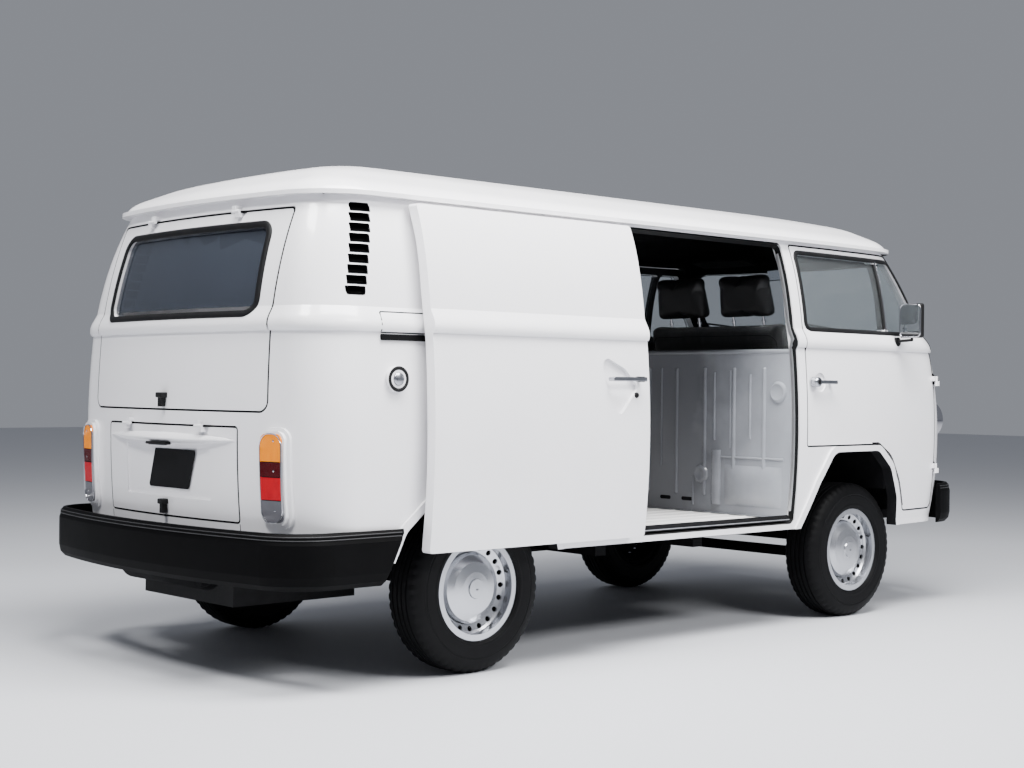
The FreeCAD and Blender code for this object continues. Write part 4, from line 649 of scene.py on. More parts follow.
def make_tyres():
    """Tyres with grooved treads, notched shoulders and rings on their walls, and their valves."""
    profile = TYRE_HALF + [(r, -y) for r, y in reversed(TYRE_HALF)]
    for axle, x in (("front", FRONT_AXLE), ("rear", REAR_AXLE)):
        for hand, side in SIDES:
            centre = Vector((x, side * HALF_TRACKS[axle], WHEEL_Z))
            verts, faces = turned(profile, centre, LEFTWARD * side, TYRE_SEGMENTS, FORWARD)
            for k in range(0, TYRE_SEGMENTS, 3):
                for i, (radius, across) in enumerate(profile, k * len(profile)):
                    if abs(across) >= 0.044 and radius >= 0.300:
                        flat = Vector((verts[i].x - x, 0, verts[i].z - WHEEL_Z))
                        verts[i] = verts[i] - flat.normalized() * NOTCH_DEPTH
            wheel = f"wheel_{axle}_{hand}"
            tyre = piece(f"tyre_tread_{axle}_{hand}", (verts, faces), "tyre", wheel, 32.0)
            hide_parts(f"tyre_{axle}_{hand}")
            spoke = Vector((math.cos(0.35), 0, math.sin(0.35)))
            stem = [centre + spoke * r + LEFTWARD * side * y for r, y in ((0.163, 0.060), (0.158, 0.078))]
            piece(f"valve_{axle}_{hand}", tube(stem, 0.004, 10), "rubber", wheel)


def make_tail_details():
    """Blank plate and its lamp, and the ring and knob of the fuel cap."""
    lid = tree_of("engine_lid")
    high, low = (land(lid, "tail", 0.0, z)[0] for z in (0.837, 0.690))
    slope = (high.x - low.x) / (high.z - low.z)
    outline = [here for here, _ in rounded(mm(70, 837, -217, 837, -160, 690, 124, 690), 0.010, 0.01)]
    flat = min(land(lid, "tail", p.x, p.y)[0].x - slope * p.y for p in outline)
    flat = min(flat, high.x - slope * high.z, low.x - slope * low.z) - 0.0012
    front = [Vector((flat + slope * p.y, p.x, p.y)) for p in outline]
    piece("number_plate_blank", prism(front, FORWARD * -0.0016), "plate", "engine_lid")
    x = land(lid, "tail", 0.0, 0.862)[0].x
    lamp = block((x - 0.012, -0.012, 0.8585), (0.030, 0.150, 0.010), bevel=0.004)
    piece("plate_lamp", lamp, "plastic", "engine_lid")
    glow = block((x - 0.013, -0.012, 0.8530), (0.018, 0.110, 0.004), bevel=0.0015)
    piece("plate_lamp_lens", glow, "clear", "engine_lid")
    place, normal = land(tree_of("fuel_cap"), "right", ahead(-0.453), 1.105)
    dish = mm(0, -2, 30, -2, 34, 1, 43, 2.5, 46, 1, 46.5, -3)
    piece("fuel_cap_ring", turned(dish, place, normal, 72), "plastic")
    knob = turned(mm(0, 8, 18, 7.5, 22, 5, 24, 1, 24, -1.5), place, normal)
    bar = block(place + normal * 0.010, (0.034, 0.006, 0.010))
    joined("fuel_cap_knob", [knob, bar], "handle")


PAD_SIZE = (0.0145, 0.0225)
HANDLE_Z = 1.116


def make_door_details():
    """Window dividers, the mirrors' rims and glasses, and the buttons and locks of the doors."""
    rim = [p for p, _ in rounded(box_outline(0, 0, 0.060, 0.082), 0.022, 0.008)]
    for hand, side in SIDES:
        glass = tree_of(f"door_glass_{hand}")
        door, out = f"door_{hand}", LEFTWARD * side
        path = []
        for k in range(25):
            z = 1.362 + 0.348 * k / 24
            hits = [land(glass, hand, WINDOW_POST_X + d, min(max(z, 1.372), 1.700)) for d in (-0.03, 0.03)]
            ys = [hit[0].y for hit in hits if hit]
            path.append((Vector((WINDOW_POST_X, sum(ys) / len(ys) + side * 0.010, z)), out))
        piece(f"window_divider_{hand}", bead(path, 0.019, 0.006, 0.006, closed=False), "plastic", door)
        piece(f"window_divider_trim_{hand}", bead(path, 0.006, 0.009, 0.001, closed=False), "chrome", door)
        back = at(2.6825, side * 0.906, 1.420)
        ring = [(back + Vector((0, p.x * 0.95, p.y * 0.965)), -FORWARD) for p in rim]
        piece(f"mirror_rim_{hand}", bead(ring, 0.007, 0.0035, 0.002), "chrome", door)
        flat = [back + Vector((-0.0008, p.x * 0.94, p.y * 0.955)) for p in rim]
        piece(f"mirror_glass_{hand}", prism(flat, FORWARD * 0.002), "mirror", door)
        pad = block(at(1.976, side * 0.8915, HANDLE_Z), (0.040, *PAD_SIZE), bevel=0.004)
        piece(f"door_button_{hand}", pad, "plastic", door)
        spot = at(1.974, side * 0.888, HANDLE_Z)
        cup = turned(mm(10, 12.5, 17, 12.5, 21, 10, 23, 4, 23, -24), spot, out, 48)
        piece(f"door_lock_cup_{hand}", cup, "handle", door)
        button = turned(mm(0, 10.5, 10.5, 10.5, 10.5, 2), spot, out, 32)
        piece(f"door_lock_button_{hand}", button, "plastic", door)
    place, _ = land(tree_of("sliding_door"), "right", ahead(0.716), 1.052)
    piece("slide_lock", turned(mm(0, 7, 8, 7, 10.5, 4.5, 12, 0, 12, -3), place, -LEFTWARD, 32), "plastic")
    pad = block(at(SLIDE_FRONT - 0.085 - DOOR_RUN, -0.9645, HANDLE_Z), (0.050, *PAD_SIZE), bevel=0.004)
    piece("slide_handle_pad", pad, "plastic")


# Roof
UNDER_ROOF_Z = 1.60
ROOF_HOLE_Z = 1.902
ROOF_PATCH_Z = 1.893
ROOF_TOP_Z = 1.948
ROOF_STEP = 0.02
ROOF_START_X = -1.95
ROOF_COUNTS = (190, 70)
SKIN_APART = 0.012


def make_liner():
    """Dark lining under the roof, with its bows, black as painted shade under the roof."""
    roof = tree_of("roof")

    def under(x, y):
        return roof.ray_cast(Vector((x, y, UNDER_ROOF_Z)), UP)[0]

    def lined(a, b):
        u, v = 2 * a - 1, 2 * b - 1
        x, y = -0.14 + 1.58 * u * math.sqrt(1 - v * v / 2), 0.63 * v * math.sqrt(1 - u * u / 2)
        place = under(x, y)
        return Vector((x, y, place.z - 0.010 if place else 1.775))

    thicken(piece("roof_liner", sheet(44, 26, lined), "liner"), 0.004)
    bows = []
    for x in (-1.25, -0.75, -0.25, 0.25, 0.75):
        places = [under(x, -0.55 + 1.1 * k / 20) for k in range(21)]
        bows.append(tube([place - UP * 0.020 for place in places if place], 0.009, 8))
    joined("roof_liner_bows", bows, "liner")


def make_roof():
    """Roof pressing with a smooth crown in place of the CAD crown, which folds at its rear corners."""
    tree = tree_of("roof")

    def skins(x, y):
        """Heights of the outer and the inner skin, below any fold that stands over the outer one."""
        inner = tree.ray_cast(Vector((x, y, UNDER_ROOF_Z)), UP)[0]
        outer = inner and tree.ray_cast(inner + UP * SKIN_APART, UP)[0]
        return (outer.z, inner.z) if outer else None

    def spot(i, j):
        return ROOF_START_X + ROOF_STEP * i, (j - (ROOF_COUNTS[1] - 1) / 2) * ROOF_STEP

    def near(i, j):
        return (i + 1, j), (i - 1, j), (i, j + 1), (i, j - 1)

    bm = bmesh.new()
    bm.from_mesh(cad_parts["roof"].data)
    doomed = []
    for face in bm.faces:
        low = min(v.co.z for v in face.verts)
        if low > ROOF_HOLE_Z:
            centre = face.calc_center_median()
            both = skins(centre.x, centre.y)
            if both and low > both[1] + SKIN_APART:
                doomed.append(face)
    bmesh.ops.delete(bm, geom=doomed, context="FACES")
    heights = {}
    for i in range(ROOF_COUNTS[0]):
        for j in range(ROOF_COUNTS[1]):
            both = skins(*spot(i, j))
            if both and both[0] > ROOF_PATCH_Z:
                heights[i, j] = both[0]
    inside = [key for key, z in heights.items() if z >= ROOF_HOLE_Z and all(k in heights for k in near(*key))]
    for _ in range(12):
        means = {key: sum(heights[k] for k in near(*key)) / 4 for key in inside}
        heights.update({key: (heights[key] + mean) / 2 for key, mean in means.items()})
    verts = {}
    for key, z in heights.items():
        lift = 0.0005 * min(1.0, (z - ROOF_PATCH_Z) / (ROOF_HOLE_Z - ROOF_PATCH_Z))
        verts[key] = bm.verts.new((*spot(*key), min(z + lift, ROOF_TOP_Z)))
    for i, j in verts:
        ring = [verts.get(key) for key in ((i, j), (i + 1, j), (i + 1, j + 1), (i, j + 1))]
        if all(ring):
            bm.faces.new(ring)
    mesh = bpy.data.meshes.new("roof_skin")
    bm.to_mesh(mesh)
    bm.free()
    roof = finish_piece("roof_skin", mesh, "paint", smooth=30.0)
    # Faces under the roof over the cab and load space get the black lining: painted shade.
    mesh.materials.append(LOOKS["liner"])
    for polygon in mesh.polygons:
        c, n = polygon.center, polygon.normal
        over_rooms = -1.88 < c.x < 1.69 and abs(c.y) < 0.74 and c.z > 1.74
        looks_in = n.x * c.x + n.y * c.y < 0 and c.z < 1.90
        looks_down = n.z < -0.15 and abs(c.y) < 0.66
        if over_rooms and (looks_in or looks_down):
            polygon.material_index = 1
    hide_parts("roof")


# Rear and front trims
BEAD_HUB_X = 1.50
BEAD_SWEEP = 92.0
BEAD_STEPS = 120
LAMP_Y = 0.655


def make_rear_trim():
    """Pins of the engine lid, seams of the strip under it, ridges of the bumpers, and trims of the lamps."""
    pins = []
    for y in (-0.260, 0.260):
        place, normal = land(tree_of("engine_lid"), "tail", y, 0.905)
        ends = [place + normal * 0.002 - UP * 0.012, place + normal * 0.004 + UP * 0.024]
        pins.append(tube(ends, 0.0035, 10))
    joined("lid_hinge_pins", pins, "silver", "engine_lid")
    tail = tree_of("tail_frame", "engine_lid")
    seams = []
    for y in (-0.456, 0.456):
        path = [land(tail, "tail", y, 0.496 + 0.084 * k / 8) for k in range(9)]
        seams.append(bead(path, 0.004, 0.0006, 0.0006, 2, False))
    joined("valance_seams", seams, "slot")
    for name, end, lift in (("bumper_rear", -1, 0.0), ("bumper_front", 1, 0.038)):
        bar = tree_of(name)
        lines = []
        for z in (0.549, 0.561):
            path = []
            for k in range(-BEAD_STEPS, BEAD_STEPS + 1):
                angle = math.radians(BEAD_SWEEP * k / BEAD_STEPS)
                out = Vector((end * math.cos(angle), math.sin(angle), 0))
                start = Vector((end * BEAD_HUB_X, 0, lift + z)) + out * 1.4
                place, normal, _, _ = bar.ray_cast(start, -out, 0.9)
                if place:
                    path.append((place, normal if normal.dot(out) > 0 else -normal))
            lines.append(bead(smoothed(path), 0.0035, 0.0016, 0.001, 4, False))
        joined(f"{name}_beads", lines, "trim_grey")
    lamp = tree_of("tail_lamp_lenses")
    for hand, side in SIDES:
        y = side * LAMP_Y
        path = []
        for here, _ in rounded(box_outline(y, 0.754, 0.0515, 0.1555), 0.044, 0.012):
            inward = Vector((y, 0.754)) - here
            hit = land(lamp, "tail", here.x + inward.x * 0.06, here.y + inward.y * 0.03)
            if hit:
                path.append((Vector((hit[0].x - 0.0005, here.x, here.y)), hit[1]))
        piece(f"tail_lamp_rim_{hand}", bead(smoothed(path, True), 0.0045, 0.0035, 0.004, 4), "chrome")
        cap = mm(0, 1.6, 3, 1.6, 4.2, 0.8, 4.5, -1)
        screws = [turned(cap, *land(lamp, "tail", y + side * 0.014, z), 20) for z in (0.640, 0.780, 0.885)]
        joined(f"tail_lamp_screws_{hand}", screws, "chrome")
        bars = []
        for z in (0.677, 0.758, 0.811):
            hits = [land(lamp, "tail", y - 0.044 + 0.088 * k / 16, z + 0.001) for k in range(17)]
            path = [(Vector((place.x, place.y, z)), normal) for place, normal in hits]
            bars.append(bead(path, 0.003, 0.001, 0.001, 3, False))
        joined(f"tail_lamp_joints_{hand}", bars, "slot")


def make_exhaust():
    """Silencer with its end pipes across the tail, and a tail pipe, under the rear bumper."""
    shell = mm(0, -270, 57, -270, 66, -262, 66, 262, 57, 270, 0, 270)
    parts = [turned(shell, at(-0.855, -0.020, 0.395), LEFTWARD, 48)]
    for y in (-0.235, 0.195):
        parts.append(tube([at(-0.855, y, 0.400), at(-0.800, y, 0.402), at(-0.740, y, 0.402)], 0.022, 16))
    joined("silencer", parts, "chassis", smooth=50.0)
    bend = [at(-0.855, -0.285, 0.385), at(-0.872, -0.315, 0.375), at(-0.895, -0.325, 0.368),
            at(-0.925, -0.326, 0.364)]
    piece("tail_pipe", tube(bend, 0.019, 18), "chassis")


def make_nose_details():
    """Wipers, and the reflectors and rims of the headlamps."""
    screen = tree_of("windscreen", "windscreen_frame", "nose_panel")
    arms, blades = [], []
    for y in (0.330, -0.170):
        foot, normal = land(screen, "nose", y, 1.338)
        arms.append(turned(mm(0, 16, 9, 16, 12, 11, 13, -4), foot, normal, 24))
        tip, out = land(screen, "nose", y + 0.215, 1.425)
        arm = [foot + normal * 0.012, (foot + tip) / 2 + normal * 0.020, tip + out * 0.013]
        arms.append(tube(arm, 0.0038, 10))
        path = []
        for k in range(21):
            place, out = land(screen, "nose", y + 0.045 + 0.350 * k / 20, 1.398 + 0.058 * k / 20)
            path.append((place + out * 0.0045, out))
        blades.append(strip(smoothed(path), mm(-2, -4, -4, 3, -3, 8, 3, 8, 4, 3, 2, -4), False))
    joined("wiper_arms", arms, "trim_grey")
    joined("wiper_blades", blades, "rubber")
    bowl = mm(86, -4, 74, -22, 58, -36, 36, -46, 14, -50, 0, -50)
    ring = mm(88.5, 1, 89, 4.5, 92.5, 5.5, 97, 3.5, 98.5, -1)
    for hand, side in SIDES:
        centre = Vector((FRONT_AXLE + 0.958, side * 0.560, 0.930))
        piece(f"headlamp_reflector_{hand}", turned(bowl, centre, FORWARD, 72), "mirror")
        piece(f"headlamp_ring_{hand}", turned(ring, centre, FORWARD, 96), "chrome")


# Cab
MIRROR_PLACE = at(2.828, 0.0, 1.690)


def make_cab_details():
    """Dials, the gap round the glove box lid, grab handle, knobs, gear lever, pedals, visors and the inner
    mirror.
    """
    dash = tree_of("dashboard")
    rings, dials, marks = [], [], []
    for y, radius in ((0.510, 0.052), (0.625, 0.042), (0.395, 0.042)):
        place, normal = land(dash, "tail", y, 1.262)
        ring = [(radius, -0.001), (radius, 0.005), (radius + 0.004, 0.005), (radius + 0.005, -0.001)]
        rings.append(turned(ring, place, normal, 56))
        dials.append(turned([(0.0, 0.0012), (radius, 0.0012), (radius, -0.001)], place, normal, 48))
        rise = normal.cross(LEFTWARD)
        for k in range(13):
            angle = math.radians(-40 + 260 * k / 12)
            arm = (LEFTWARD * math.cos(angle) + rise * math.sin(angle)) * radius
            marks.append(tube([place + arm * share + normal * 0.0016 for share in (0.82, 0.95)], 0.0008, 6))
        hub = place + normal * 0.002
        marks.append(tube([hub, hub + (LEFTWARD + rise) * radius * 0.5], 0.0011, 6))
    joined("dial_rings", rings, "chrome")
    joined("dial_faces", dials, "slot")
    joined("dial_marks", marks, "clear")
    path = path_on(dash, "tail", mm(-580, 1165, -220, 1165, -220, 1262, -580, 1262), 0.012)
    piece("glove_box_gap", bead(path, 0.004, 0.0008, 0.0006, 2), "slot")
    place, _ = land(dash, "tail", -0.400, 1.290)
    grab = [place + Vector((x, y, 0)) for x, y in mm(-2, -130, -30, -115, -30, 115, -2, 130)]
    piece("grab_handle", tube(grab, 0.008, 14), "plastic")
    knob = mm(0, 14, 9, 14, 11, 10, 7, 2, 7, -2)
    knobs = [turned(knob, *land(dash, "tail", y, 1.245), 24) for y in (-0.150, -0.090, -0.030, 0.030, 0.090)]
    joined("dash_knobs", knobs, "plastic")
    lever = [at(2.800, 0.100, 0.620), at(2.790, 0.102, 0.760), at(2.750, 0.108, 0.880),
             at(2.700, 0.115, 0.985)]
    piece("gear_lever", tube(lever, 0.006, 14), "chrome")
    knob = turned(mm(0, 20, 12, 18, 19, 8, 19, -6, 12, -16, 6, -20), lever[-1] + UP * 0.012, UP, 28)
    boot = turned(mm(50, 0, 46, 12, 30, 30, 20, 48, 10, 56), lever[0] - UP * 0.0005, UP, 40)
    joined("gear_knob_and_boot", [knob, boot], "plastic")
    pedals = []
    for y, wide in ((0.400, 0.050), (0.500, 0.060), (0.610, 0.040)):
        pedals.append(block(at(3.130, y, 0.735), (0.075, wide, 0.008), turn_about("Y", -52)))
        pedals.append(tube([at(3.135, y, 0.730), at(3.165, y, 0.622)], 0.006, 10))
    joined("pedals", pedals, "rubber")
    # The sun visors take the black lining: painted shade.
    for hand, side in SIDES:
        visor = block(at(2.760, side * 0.330, 1.762), (0.130, 0.380, 0.014), turn_about("Y", 12), 0.006)
        piece(f"sun_visor_{hand}", visor, "liner")
    stalk = [MIRROR_PLACE + Vector((x, 0, z)) for x, z in mm(85, 78, 40, 55, 8, 12)]
    piece("inner_mirror_stalk", tube(stalk, 0.005, 12), "chrome")
    turn = turn_about("Z", -15) @ turn_about("Y", -8)
    piece("inner_mirror_case", block(MIRROR_PLACE, (0.014, 0.200, 0.060), turn, 0.006), "plastic")
    front = MIRROR_PLACE + turn @ (FORWARD * -0.0078)
    piece("inner_mirror_glass", block(front, (0.003, 0.188, 0.050), turn, 0.001), "mirror")




def make_door_cards():
    """Trim panels, winders and pulls on the inner sides of the cab doors."""
    for hand, side in SIDES:
        tree = tree_of(f"door_{hand}")
        door, out = f"door_{hand}", LEFTWARD * side

        def inside(x, z):
            return tree.ray_cast(at(x, 0, z), out)[0]

        def trimmed(a, b):
            return inside(1.985 + 0.990 * a, 0.885 + 0.475 * b) - out * 0.0012

        thicken(piece(f"door_card_{hand}", sheet(30, 14, trimmed), "vinyl", door), 0.003, 0.0)
        place = inside(2.420, 1.120)
        winder = turned(mm(0, 12, 14, 12, 18, 4, 18, 0), place, -out, 28)
        arm = tube([place - out * 0.010, place - out * 0.013 + Vector((-0.030, 0, -0.075))], 0.005, 10)
        joined(f"window_winder_{hand}", [winder, arm], "chrome", door)
        ends = mm(0, 2, 10, 14, 150, 14, 160, 2)
        pull = [at(2.100 + along, place.y, 1.245) - out * proud for along, proud in ends]
        piece(f"door_pull_{hand}", tube(pull, 0.007, 12), "plastic", door)


# Seats
SEAT_REAR, SEAT_FRONT = ahead(2.090), ahead(2.640)
SEAT_DEPTH, SEAT_MIDDLE = SEAT_FRONT - SEAT_REAR, (SEAT_FRONT + SEAT_REAR) / 2
CUSHION_TOP = 1.010
LEAN = math.radians(12.0)
HINGE_X = SEAT_REAR + 0.093
HINGE_Z = 0.980
SEATS = (("driver", 0.295, 0.725, (0.510,)), ("bench", -0.640, 0.265, (-0.390, 0.015)))
HEAD_RISE = 0.561
STEM_Y = 0.092
CLOTH = {
    "quality": 4, "mass": 0.3, "tension_stiffness": 25.0, "compression_stiffness": 25.0,
    "shear_stiffness": 12.0, "use_pressure": True, "uniform_pressure_force": 4.0,
}
CLOTH_FRAMES = 20


def leaning(y, rise):
    """Turns a place on the seats' backs into the part's frame."""
    place = (HINGE_X - rise * math.sin(LEAN), y, HINGE_Z + rise * math.cos(LEAN))
    return Matrix.Translation(place) @ Matrix.Rotation(-LEAN, 4, "Y")


def soft_mesh(size, rounding, taper=0.0):
    """Rounded block, narrower at the top by a share, as a mesh round the origin."""
    bm = bmesh.new()
    bmesh.ops.create_cube(bm, size=1.0)
    for v in bm.verts:
        share = 1.0 - taper * (v.co.z + 0.5)
        v.co = Vector((v.co.x * size[0], v.co.y * size[1] * share, v.co.z * size[2]))
    bmesh.ops.bevel(bm, geom=bm.edges[:], offset=rounding, segments=5, profile=0.6, affect="EDGES")
    mesh = bpy.data.meshes.new("soft")
    bm.to_mesh(mesh)
    bm.free()
    return mesh


def evaluated(obj):
    graph = bpy.context.evaluated_depsgraph_get()
    return bpy.data.meshes.new_from_object(obj.evaluated_get(graph))


def swell(jobs):
    """Remeshes soft blocks and lets cloth fill them. Jobs are (name, mesh, voxel, farthest move) rows."""
    scene = bpy.context.scene
    made = []
    for name, mesh, voxel, farthest in jobs:
        start = placed(name + "_start", mesh)
        remesh = start.modifiers.new("remesh", "REMESH")
        remesh.mode = "VOXEL"
        remesh.voxel_size = voxel
        fine = evaluated(start)
        bpy.data.objects.remove(start)
        made.append((placed(name, fine), farthest))
    for obj, _ in made:
        cloth = obj.modifiers.new("cloth", "CLOTH")
        for setting, value in CLOTH.items():
            setattr(cloth.settings, setting, value)
        cloth.settings.effector_weights.gravity = 0.0
        cloth.collision_settings.use_collision = False
        cloth.point_cache.frame_start = 1
        cloth.point_cache.frame_end = CLOTH_FRAMES
    for step in range(1, CLOTH_FRAMES + 1):
        scene.frame_set(step)
    for obj, farthest in made:
        full = evaluated(obj)
        for v, old in zip(full.vertices, obj.data.vertices):
            move = v.co - old.co
            if move.length > farthest:
                v.co = old.co + move * (farthest / move.length)
        obj.modifiers.clear()
        obj.data = full
    scene.frame_set(1)
    return [obj for obj, _ in made]


def set_pad(pad, place, look):
    """Puts a soft mesh in its place, smooths it once, gives it its look and attaches it to the body."""
    pad.data.transform(place)
    pad.data.polygons.foreach_set("use_smooth", [True] * len(pad.data.polygons))
    pad.data.materials.clear()
    pad.data.materials.append(LOOKS[look])
    round_off = pad.modifiers.new("round", "SUBSURF")
    round_off.levels = round_off.render_levels = 1
    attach(pad, "body")


def make_seats():
    """Padded cushions, backs and headrests, with their bases, stems and piping."""
    jobs, places = [], []
    for name, y0, y1, heads in SEATS:
        width, middle = y1 - y0, (y0 + y1) / 2
        cushion = soft_mesh((SEAT_DEPTH - 0.036, width - 0.030, 0.084), 0.036)
        jobs.append((f"seat_{name}_cushion", cushion, 0.010, 0.012))
        places.append(Matrix.Translation((SEAT_MIDDLE, middle, CUSHION_TOP - 0.056)))
        back = soft_mesh((0.084, width - 0.030, 0.410), 0.036, 0.04)
        jobs.append((f"seat_{name}_back", back, 0.010, 0.012))
        places.append(leaning(middle, 0.222))
        for i, y in enumerate(heads):
            headrest = soft_mesh((0.072, 0.312, 0.202), 0.034, 0.07)
            jobs.append((f"seat_{name}_headrest_{i + 1}", headrest, 0.007, 0.011))
            places.append(leaning(y, HEAD_RISE))
    pads = swell(jobs)
    for pad, place in zip(pads, places):
        set_pad(pad, place, "vinyl" if "headrest" in pad.name else "cloth")
    for name, y0, y1, heads in SEATS:
        width, middle = y1 - y0, (y0 + y1) / 2
        size = (SEAT_DEPTH - 0.14, width - 0.11, 0.054)
        plinth = block((SEAT_MIDDLE - 0.005, middle, 0.866), size, bevel=0.008)
        plinth = piece(f"seat_{name}_base", plinth, "plastic")
        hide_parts(f"seat_{name}")
        stems = []
        for y in [head + s * STEM_Y for head in heads for s in (-1, 1)]:
            place = leaning(y, 0)
            for low, high, radius, sides in ((0.400, 0.475, 0.006, 12), (0.432, 0.441, 0.011, 14)):
                stems.append(tube([place @ (UP * low), place @ (UP * high)], radius, sides))
        joined(f"seat_{name}_stems", stems, "chrome")
        pad = next(p for p in pads if p.name == f"seat_{name}_back")
        tree = BVHTree.FromObject(pad, bpy.context.evaluated_depsgraph_get())
        half = width / 2 - 0.055
        outline = [(middle - half, 0.06), (middle + half, 0.06), (middle + half - 0.01, 0.375),
                   (middle - half + 0.01, 0.375)]
        seams = []
        for sign in (-1, 1):
            way = Matrix.Rotation(-LEAN, 3, "Y") @ (FORWARD * -sign)
            starts = [leaning(p.x, p.y) @ (FORWARD * sign * 0.25) for p, _ in rounded(outline, 0.04, 0.012)]
            spots = [tree.ray_cast(start, way)[0] for start in starts]
            seams.append(tube([spot for spot in spots if spot], 0.0028, 6, closed=True))
        joined(f"seat_{name}_piping", seams, "vinyl")


# Load space
BULKHEAD_X = ahead(1.914) - 0.0002
BOSS_SEGMENTS = 56
UPRIGHTS = (
    (-0.345, 0.530, 0.790, 0.055, 0.016), (-0.200, 0.520, 0.660, 0.012, 0.006),
    *((y, low, top, 0.014, 0.007) for y, low, top in (
        (0.009, 0.700, 1.180), (-0.330, 0.834, 1.160), (-0.429, 0.800, 1.170), (-0.547, 0.846, 1.150),
        (0.130, 0.780, 1.160), (0.250, 0.700, 1.170), (0.430, 0.780, 1.160), (0.560, 0.840, 1.150))),
)


def boss(y, z, radius, high, inner):
    """Round raised disc on the bulkhead, with a hollow in its middle."""
    profile = [(radius, 0.0), (radius - 0.006, high * 0.8), (radius - 0.014, high), (inner + 0.010, high),
               (inner, high * 0.5)]
    verts, faces = turned(profile, Vector((BULKHEAD_X, y, z)), -FORWARD, BOSS_SEGMENTS)
    lasts = [(k + 1) * len(profile) - 1 for k in range(BOSS_SEGMENTS)]
    faces += [(lasts[k - 1], lasts[k], len(verts)) for k in range(BOSS_SEGMENTS)]
    return verts + [Vector((BULKHEAD_X - high * 0.5, y, z))], faces


def rib(points, out, width, high, steps):
    return bead([(Vector(p), out) for p in points], width, high, 0.0, steps, False)


def make_bulkhead():
    """Ribs, bosses, foot flange and slots of the panel behind the seats, and ribs of the load floor."""
    parts = [boss(-0.712, 1.068, 0.050, 0.012, 0.028), boss(-0.250, 0.670, 0.046, 0.012, 0.018),
             boss(0.330, 1.090, 0.044, 0.009, 0.026)]
    level = [(BULKHEAD_X, -0.745 + 0.37 * k / 20, 0.757) for k in range(21)]
    parts.append(rib(level, -FORWARD, 0.012, 0.006, 8))
    for y, low, top, width, high in UPRIGHTS:
        upright = [(BULKHEAD_X, y, low + (top - low) * k / 12) for k in range(13)]
        parts.append(rib(upright, -FORWARD, width, high, 8))

    def swelling(a, b):
        u, v = 2 * b - 1, 2 * a - 1
        rise = 0.020 * (1 - abs(u) ** 4) * (1 - abs(v) ** 4)
        return Vector((BULKHEAD_X - rise, -0.565 + 0.170 * u, 0.625 + 0.095 * v))

    parts.append(sheet(16, 30, swelling))
    # The pressings and flange take the bulkhead paint with its painted shade.
    joined("bulkhead_pressings", parts, "bulkhead_paint_shaded")
    flange = block((BULKHEAD_X - 0.012, -0.02, 0.492), (0.022, 1.46, 0.005), bevel=0.002)
    piece("bulkhead_foot_flange", flange, "bulkhead_paint_shaded")
    slots = []
    for y in (-0.161, -0.022):
        outline = rounded(box_outline(y, 0.546, 0.034, 0.009), 0.009, 0.006)
        slots.append(prism([Vector((BULKHEAD_X - 0.0012, p.x, p.y)) for p, _ in outline], FORWARD * 0.0017))
    joined("bulkhead_slots", slots, "slot")
    ribs = []
    for k in range(13):
        line = [(ahead(0.78 + 1.10 * i / 20), -0.66 + 0.11 * k, 0.486) for i in range(21)]
        ribs.append(rib(line, UP, 0.030, 0.004, 6))
    joined("load_floor_ribs", ribs, "floor_paint")


# Materials of the CAD nodes. An entry that ends with an underscore stands for every node that starts with it
NODE_LOOKS = {
    "paint": "door_left door_right sliding_door tailgate engine_lid tail_frame side_panel_ side_frame_right "
             "windscreen_frame nose_panel arch_panels roof fuel_cap",
    "bulkhead_paint_shaded": "bulkhead",
    "floor_paint": "load_floor cab_floor engine_deck",
    "glass": "door_glass_ windscreen headlamp_glasses",
    "dark_glass": "tailgate_glass",
    "chassis": "knuckle_ front_axle rear_suspension frame_rails slide_arms slide_track",
    "plastic": "dashboard steering_wheel fresh_air_grille mirror_ tailgate_lock lid_lock",
    "bumper": "bumper_",
    "alloy": "powertrain",
    "amber": "front_indicators",
    "chrome": "lamp_rims",
    "handle": "door_handle_ slide_handle",
    "rim": "rim_",
    "tyre": "tyre_",
    "cloth": "seat_",
    "red": "tail_lamp_lenses",
}


def outwards(c, n):
    """How far a face looks away from the van's middle line."""
    return n.y if c.y > 0 else -n.y


def in_arch(c, n, axle):
    """True for the faces of a wheel arch's edge, which look towards the wheel."""
    towards = Vector((axle - c.x, 0, 0.42 - c.z))
    near = abs(c.x - axle) < 0.6 and c.z < 0.82
    return near and n.dot(towards) > 0.25 * towards.length


def shaded_vent_walls(c, n):
    """True for the cut faces round the air slots of the rear corners, painted black as the shade in the
    slots.
    """
    upright = ahead(-0.665) < c.x < ahead(-0.485) and 1.392 < c.z < 1.742
    return upright and abs(c.y) > 0.6 and (abs(n.z) > 0.7 or abs(n.y) < 0.35)


def under_load_floor(c, n):
    return n.z < -0.3 or (abs(c.y) > 0.575 and c.z < 0.75 and c.x < ahead(0.46))


def under_cab_floor(c, n):
    return n.z < -0.3 or (abs(c.y) > 0.35 and n.z < 0.3 and (c.z < 0.83 or n.y * c.y > 0.4))


def door_frame_in_shade(c, n):
    """True for a door's inner face at the window and for the frame's part behind the window divider, which
    are painted black as shade.
    """
    at_divider = abs(c.x - WINDOW_POST_X) < 0.035 and 1.374 < c.z < 1.698
    return at_divider or (c.z > 1.34 and outwards(c, n) < -0.3)


# Faces on the inboard side of a rim, painted black as the shade under the van.
def rim_back_in_shade(c, n, half_track):
    return outwards(c, n) < -0.3 or (abs(c.y) < half_track - 0.02 and outwards(c, n) < 0.3)


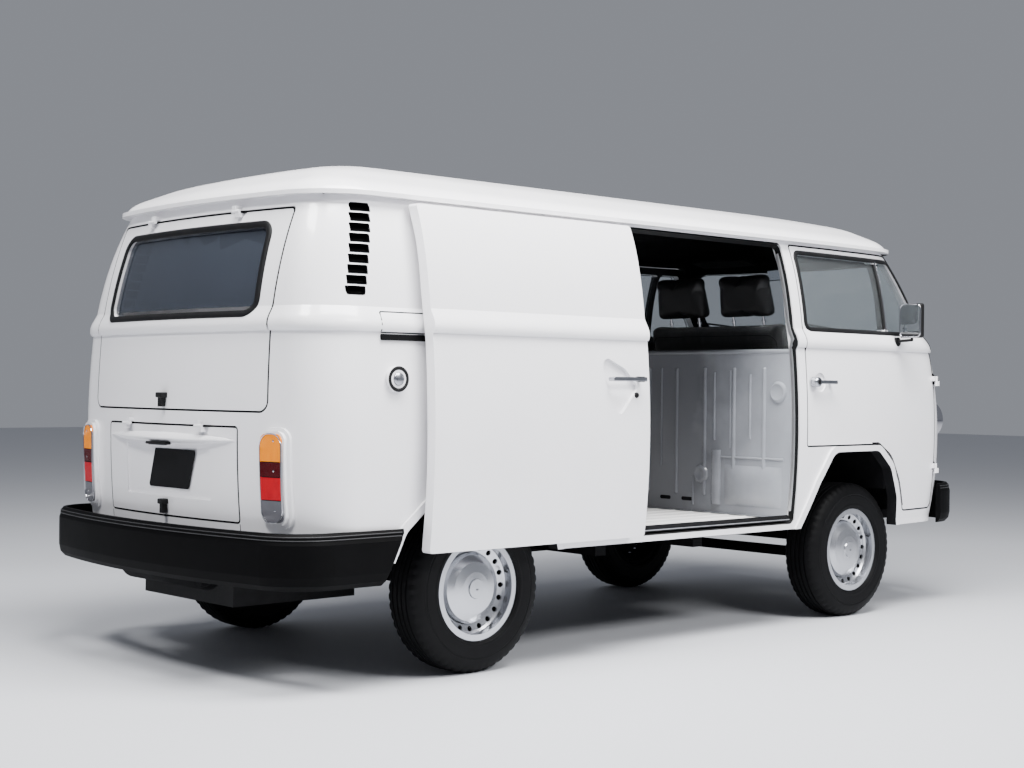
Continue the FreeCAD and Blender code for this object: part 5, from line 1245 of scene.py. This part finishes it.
# Rules by centre and normal for faces with a look of their own. The later of two rules holds
FACE_LOOKS = (
    ("tail_lamp_lenses", "clear", lambda c, n: c.z < 0.677),
    ("tail_lamp_lenses", "dark_red", lambda c, n: 0.758 < c.z < 0.811),
    ("tail_lamp_lenses", "amber", lambda c, n: c.z > 0.811),
    ("load_floor", "underseal", under_load_floor),
    ("cab_floor", "underseal", under_cab_floor),
    ("engine_deck", "underseal", lambda c, n: n.z < -0.3 or (c.z < 0.925 and n.x < 0.5)),
    ("bulkhead", "underseal", lambda c, n: n.x > 0.5),
    ("arch_panels", "underseal", lambda c, n: in_arch(c, n, FRONT_AXLE)),
    ("nose_panel", "underseal", lambda c, n: in_arch(c, n, FRONT_AXLE) or (n.x < -0.3 and c.z < 0.62)),
    ("side_panel_left side_panel_right tail_frame", "underseal", lambda c, n: in_arch(c, n, REAR_AXLE)),
    ("lamp_rims", "paint", lambda c, n: c.x < -1.0),
    # The windscreen frame's inward and downward faces are painted black as shade.
    ("windscreen_frame", "liner", lambda c, n: n.x * c.x + n.y * c.y < 0 or n.z < -0.6),
    # The vents' cut faces are body metal; their black is painted shade.
    ("tail_frame side_panel_left side_panel_right", "slot", shaded_vent_walls),
    # The side panels' upper inner faces are painted black as shade.
    ("side_panel_left side_panel_right side_frame_right", "liner",
     lambda c, n: c.z > 1.70 and (n.y * c.y < -0.2 or n.z < -0.6)),
    # The doors' inner frames are body-coloured metal; their black here is painted shade.
    ("door_left door_right", "plastic", door_frame_in_shade),
    # The rims' backs are steel; their black is painted shade.
    ("rim_front_left rim_front_right", "chassis", lambda c, n: rim_back_in_shade(c, n, HALF_TRACKS["front"])),
    ("rim_rear_left rim_rear_right", "chassis", lambda c, n: rim_back_in_shade(c, n, HALF_TRACKS["rear"])),
)


def look_of(name):
    for look, entries in NODE_LOOKS.items():
        for entry in entries.split():
            if name == entry or (entry.endswith("_") and name.startswith(entry)):
                return look
    raise KeyError(name)


def dress_nodes():
    """Gives each CAD node its material, and the faces that a rule picks their own."""
    for name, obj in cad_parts.items():
        obj.data.materials.clear()
        obj.data.materials.append(LOOKS[look_of(name)])
    for names, look, chosen in FACE_LOOKS:
        for name in names.split():
            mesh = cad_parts[name].data
            mesh.materials.append(LOOKS[look])
            for polygon in mesh.polygons:
                if chosen(polygon.center, polygon.normal):
                    polygon.material_index = len(mesh.materials) - 1


make_camera()
make_studio()
dress_nodes()
make_seals()
make_door_way()
make_rail_cover()
make_vents()
make_tyres()
make_tail_details()
make_door_details()
make_liner()
make_roof()
make_seats()
make_bulkhead()
make_rear_trim()
make_exhaust()
make_nose_details()
make_cab_details()
make_door_cards()
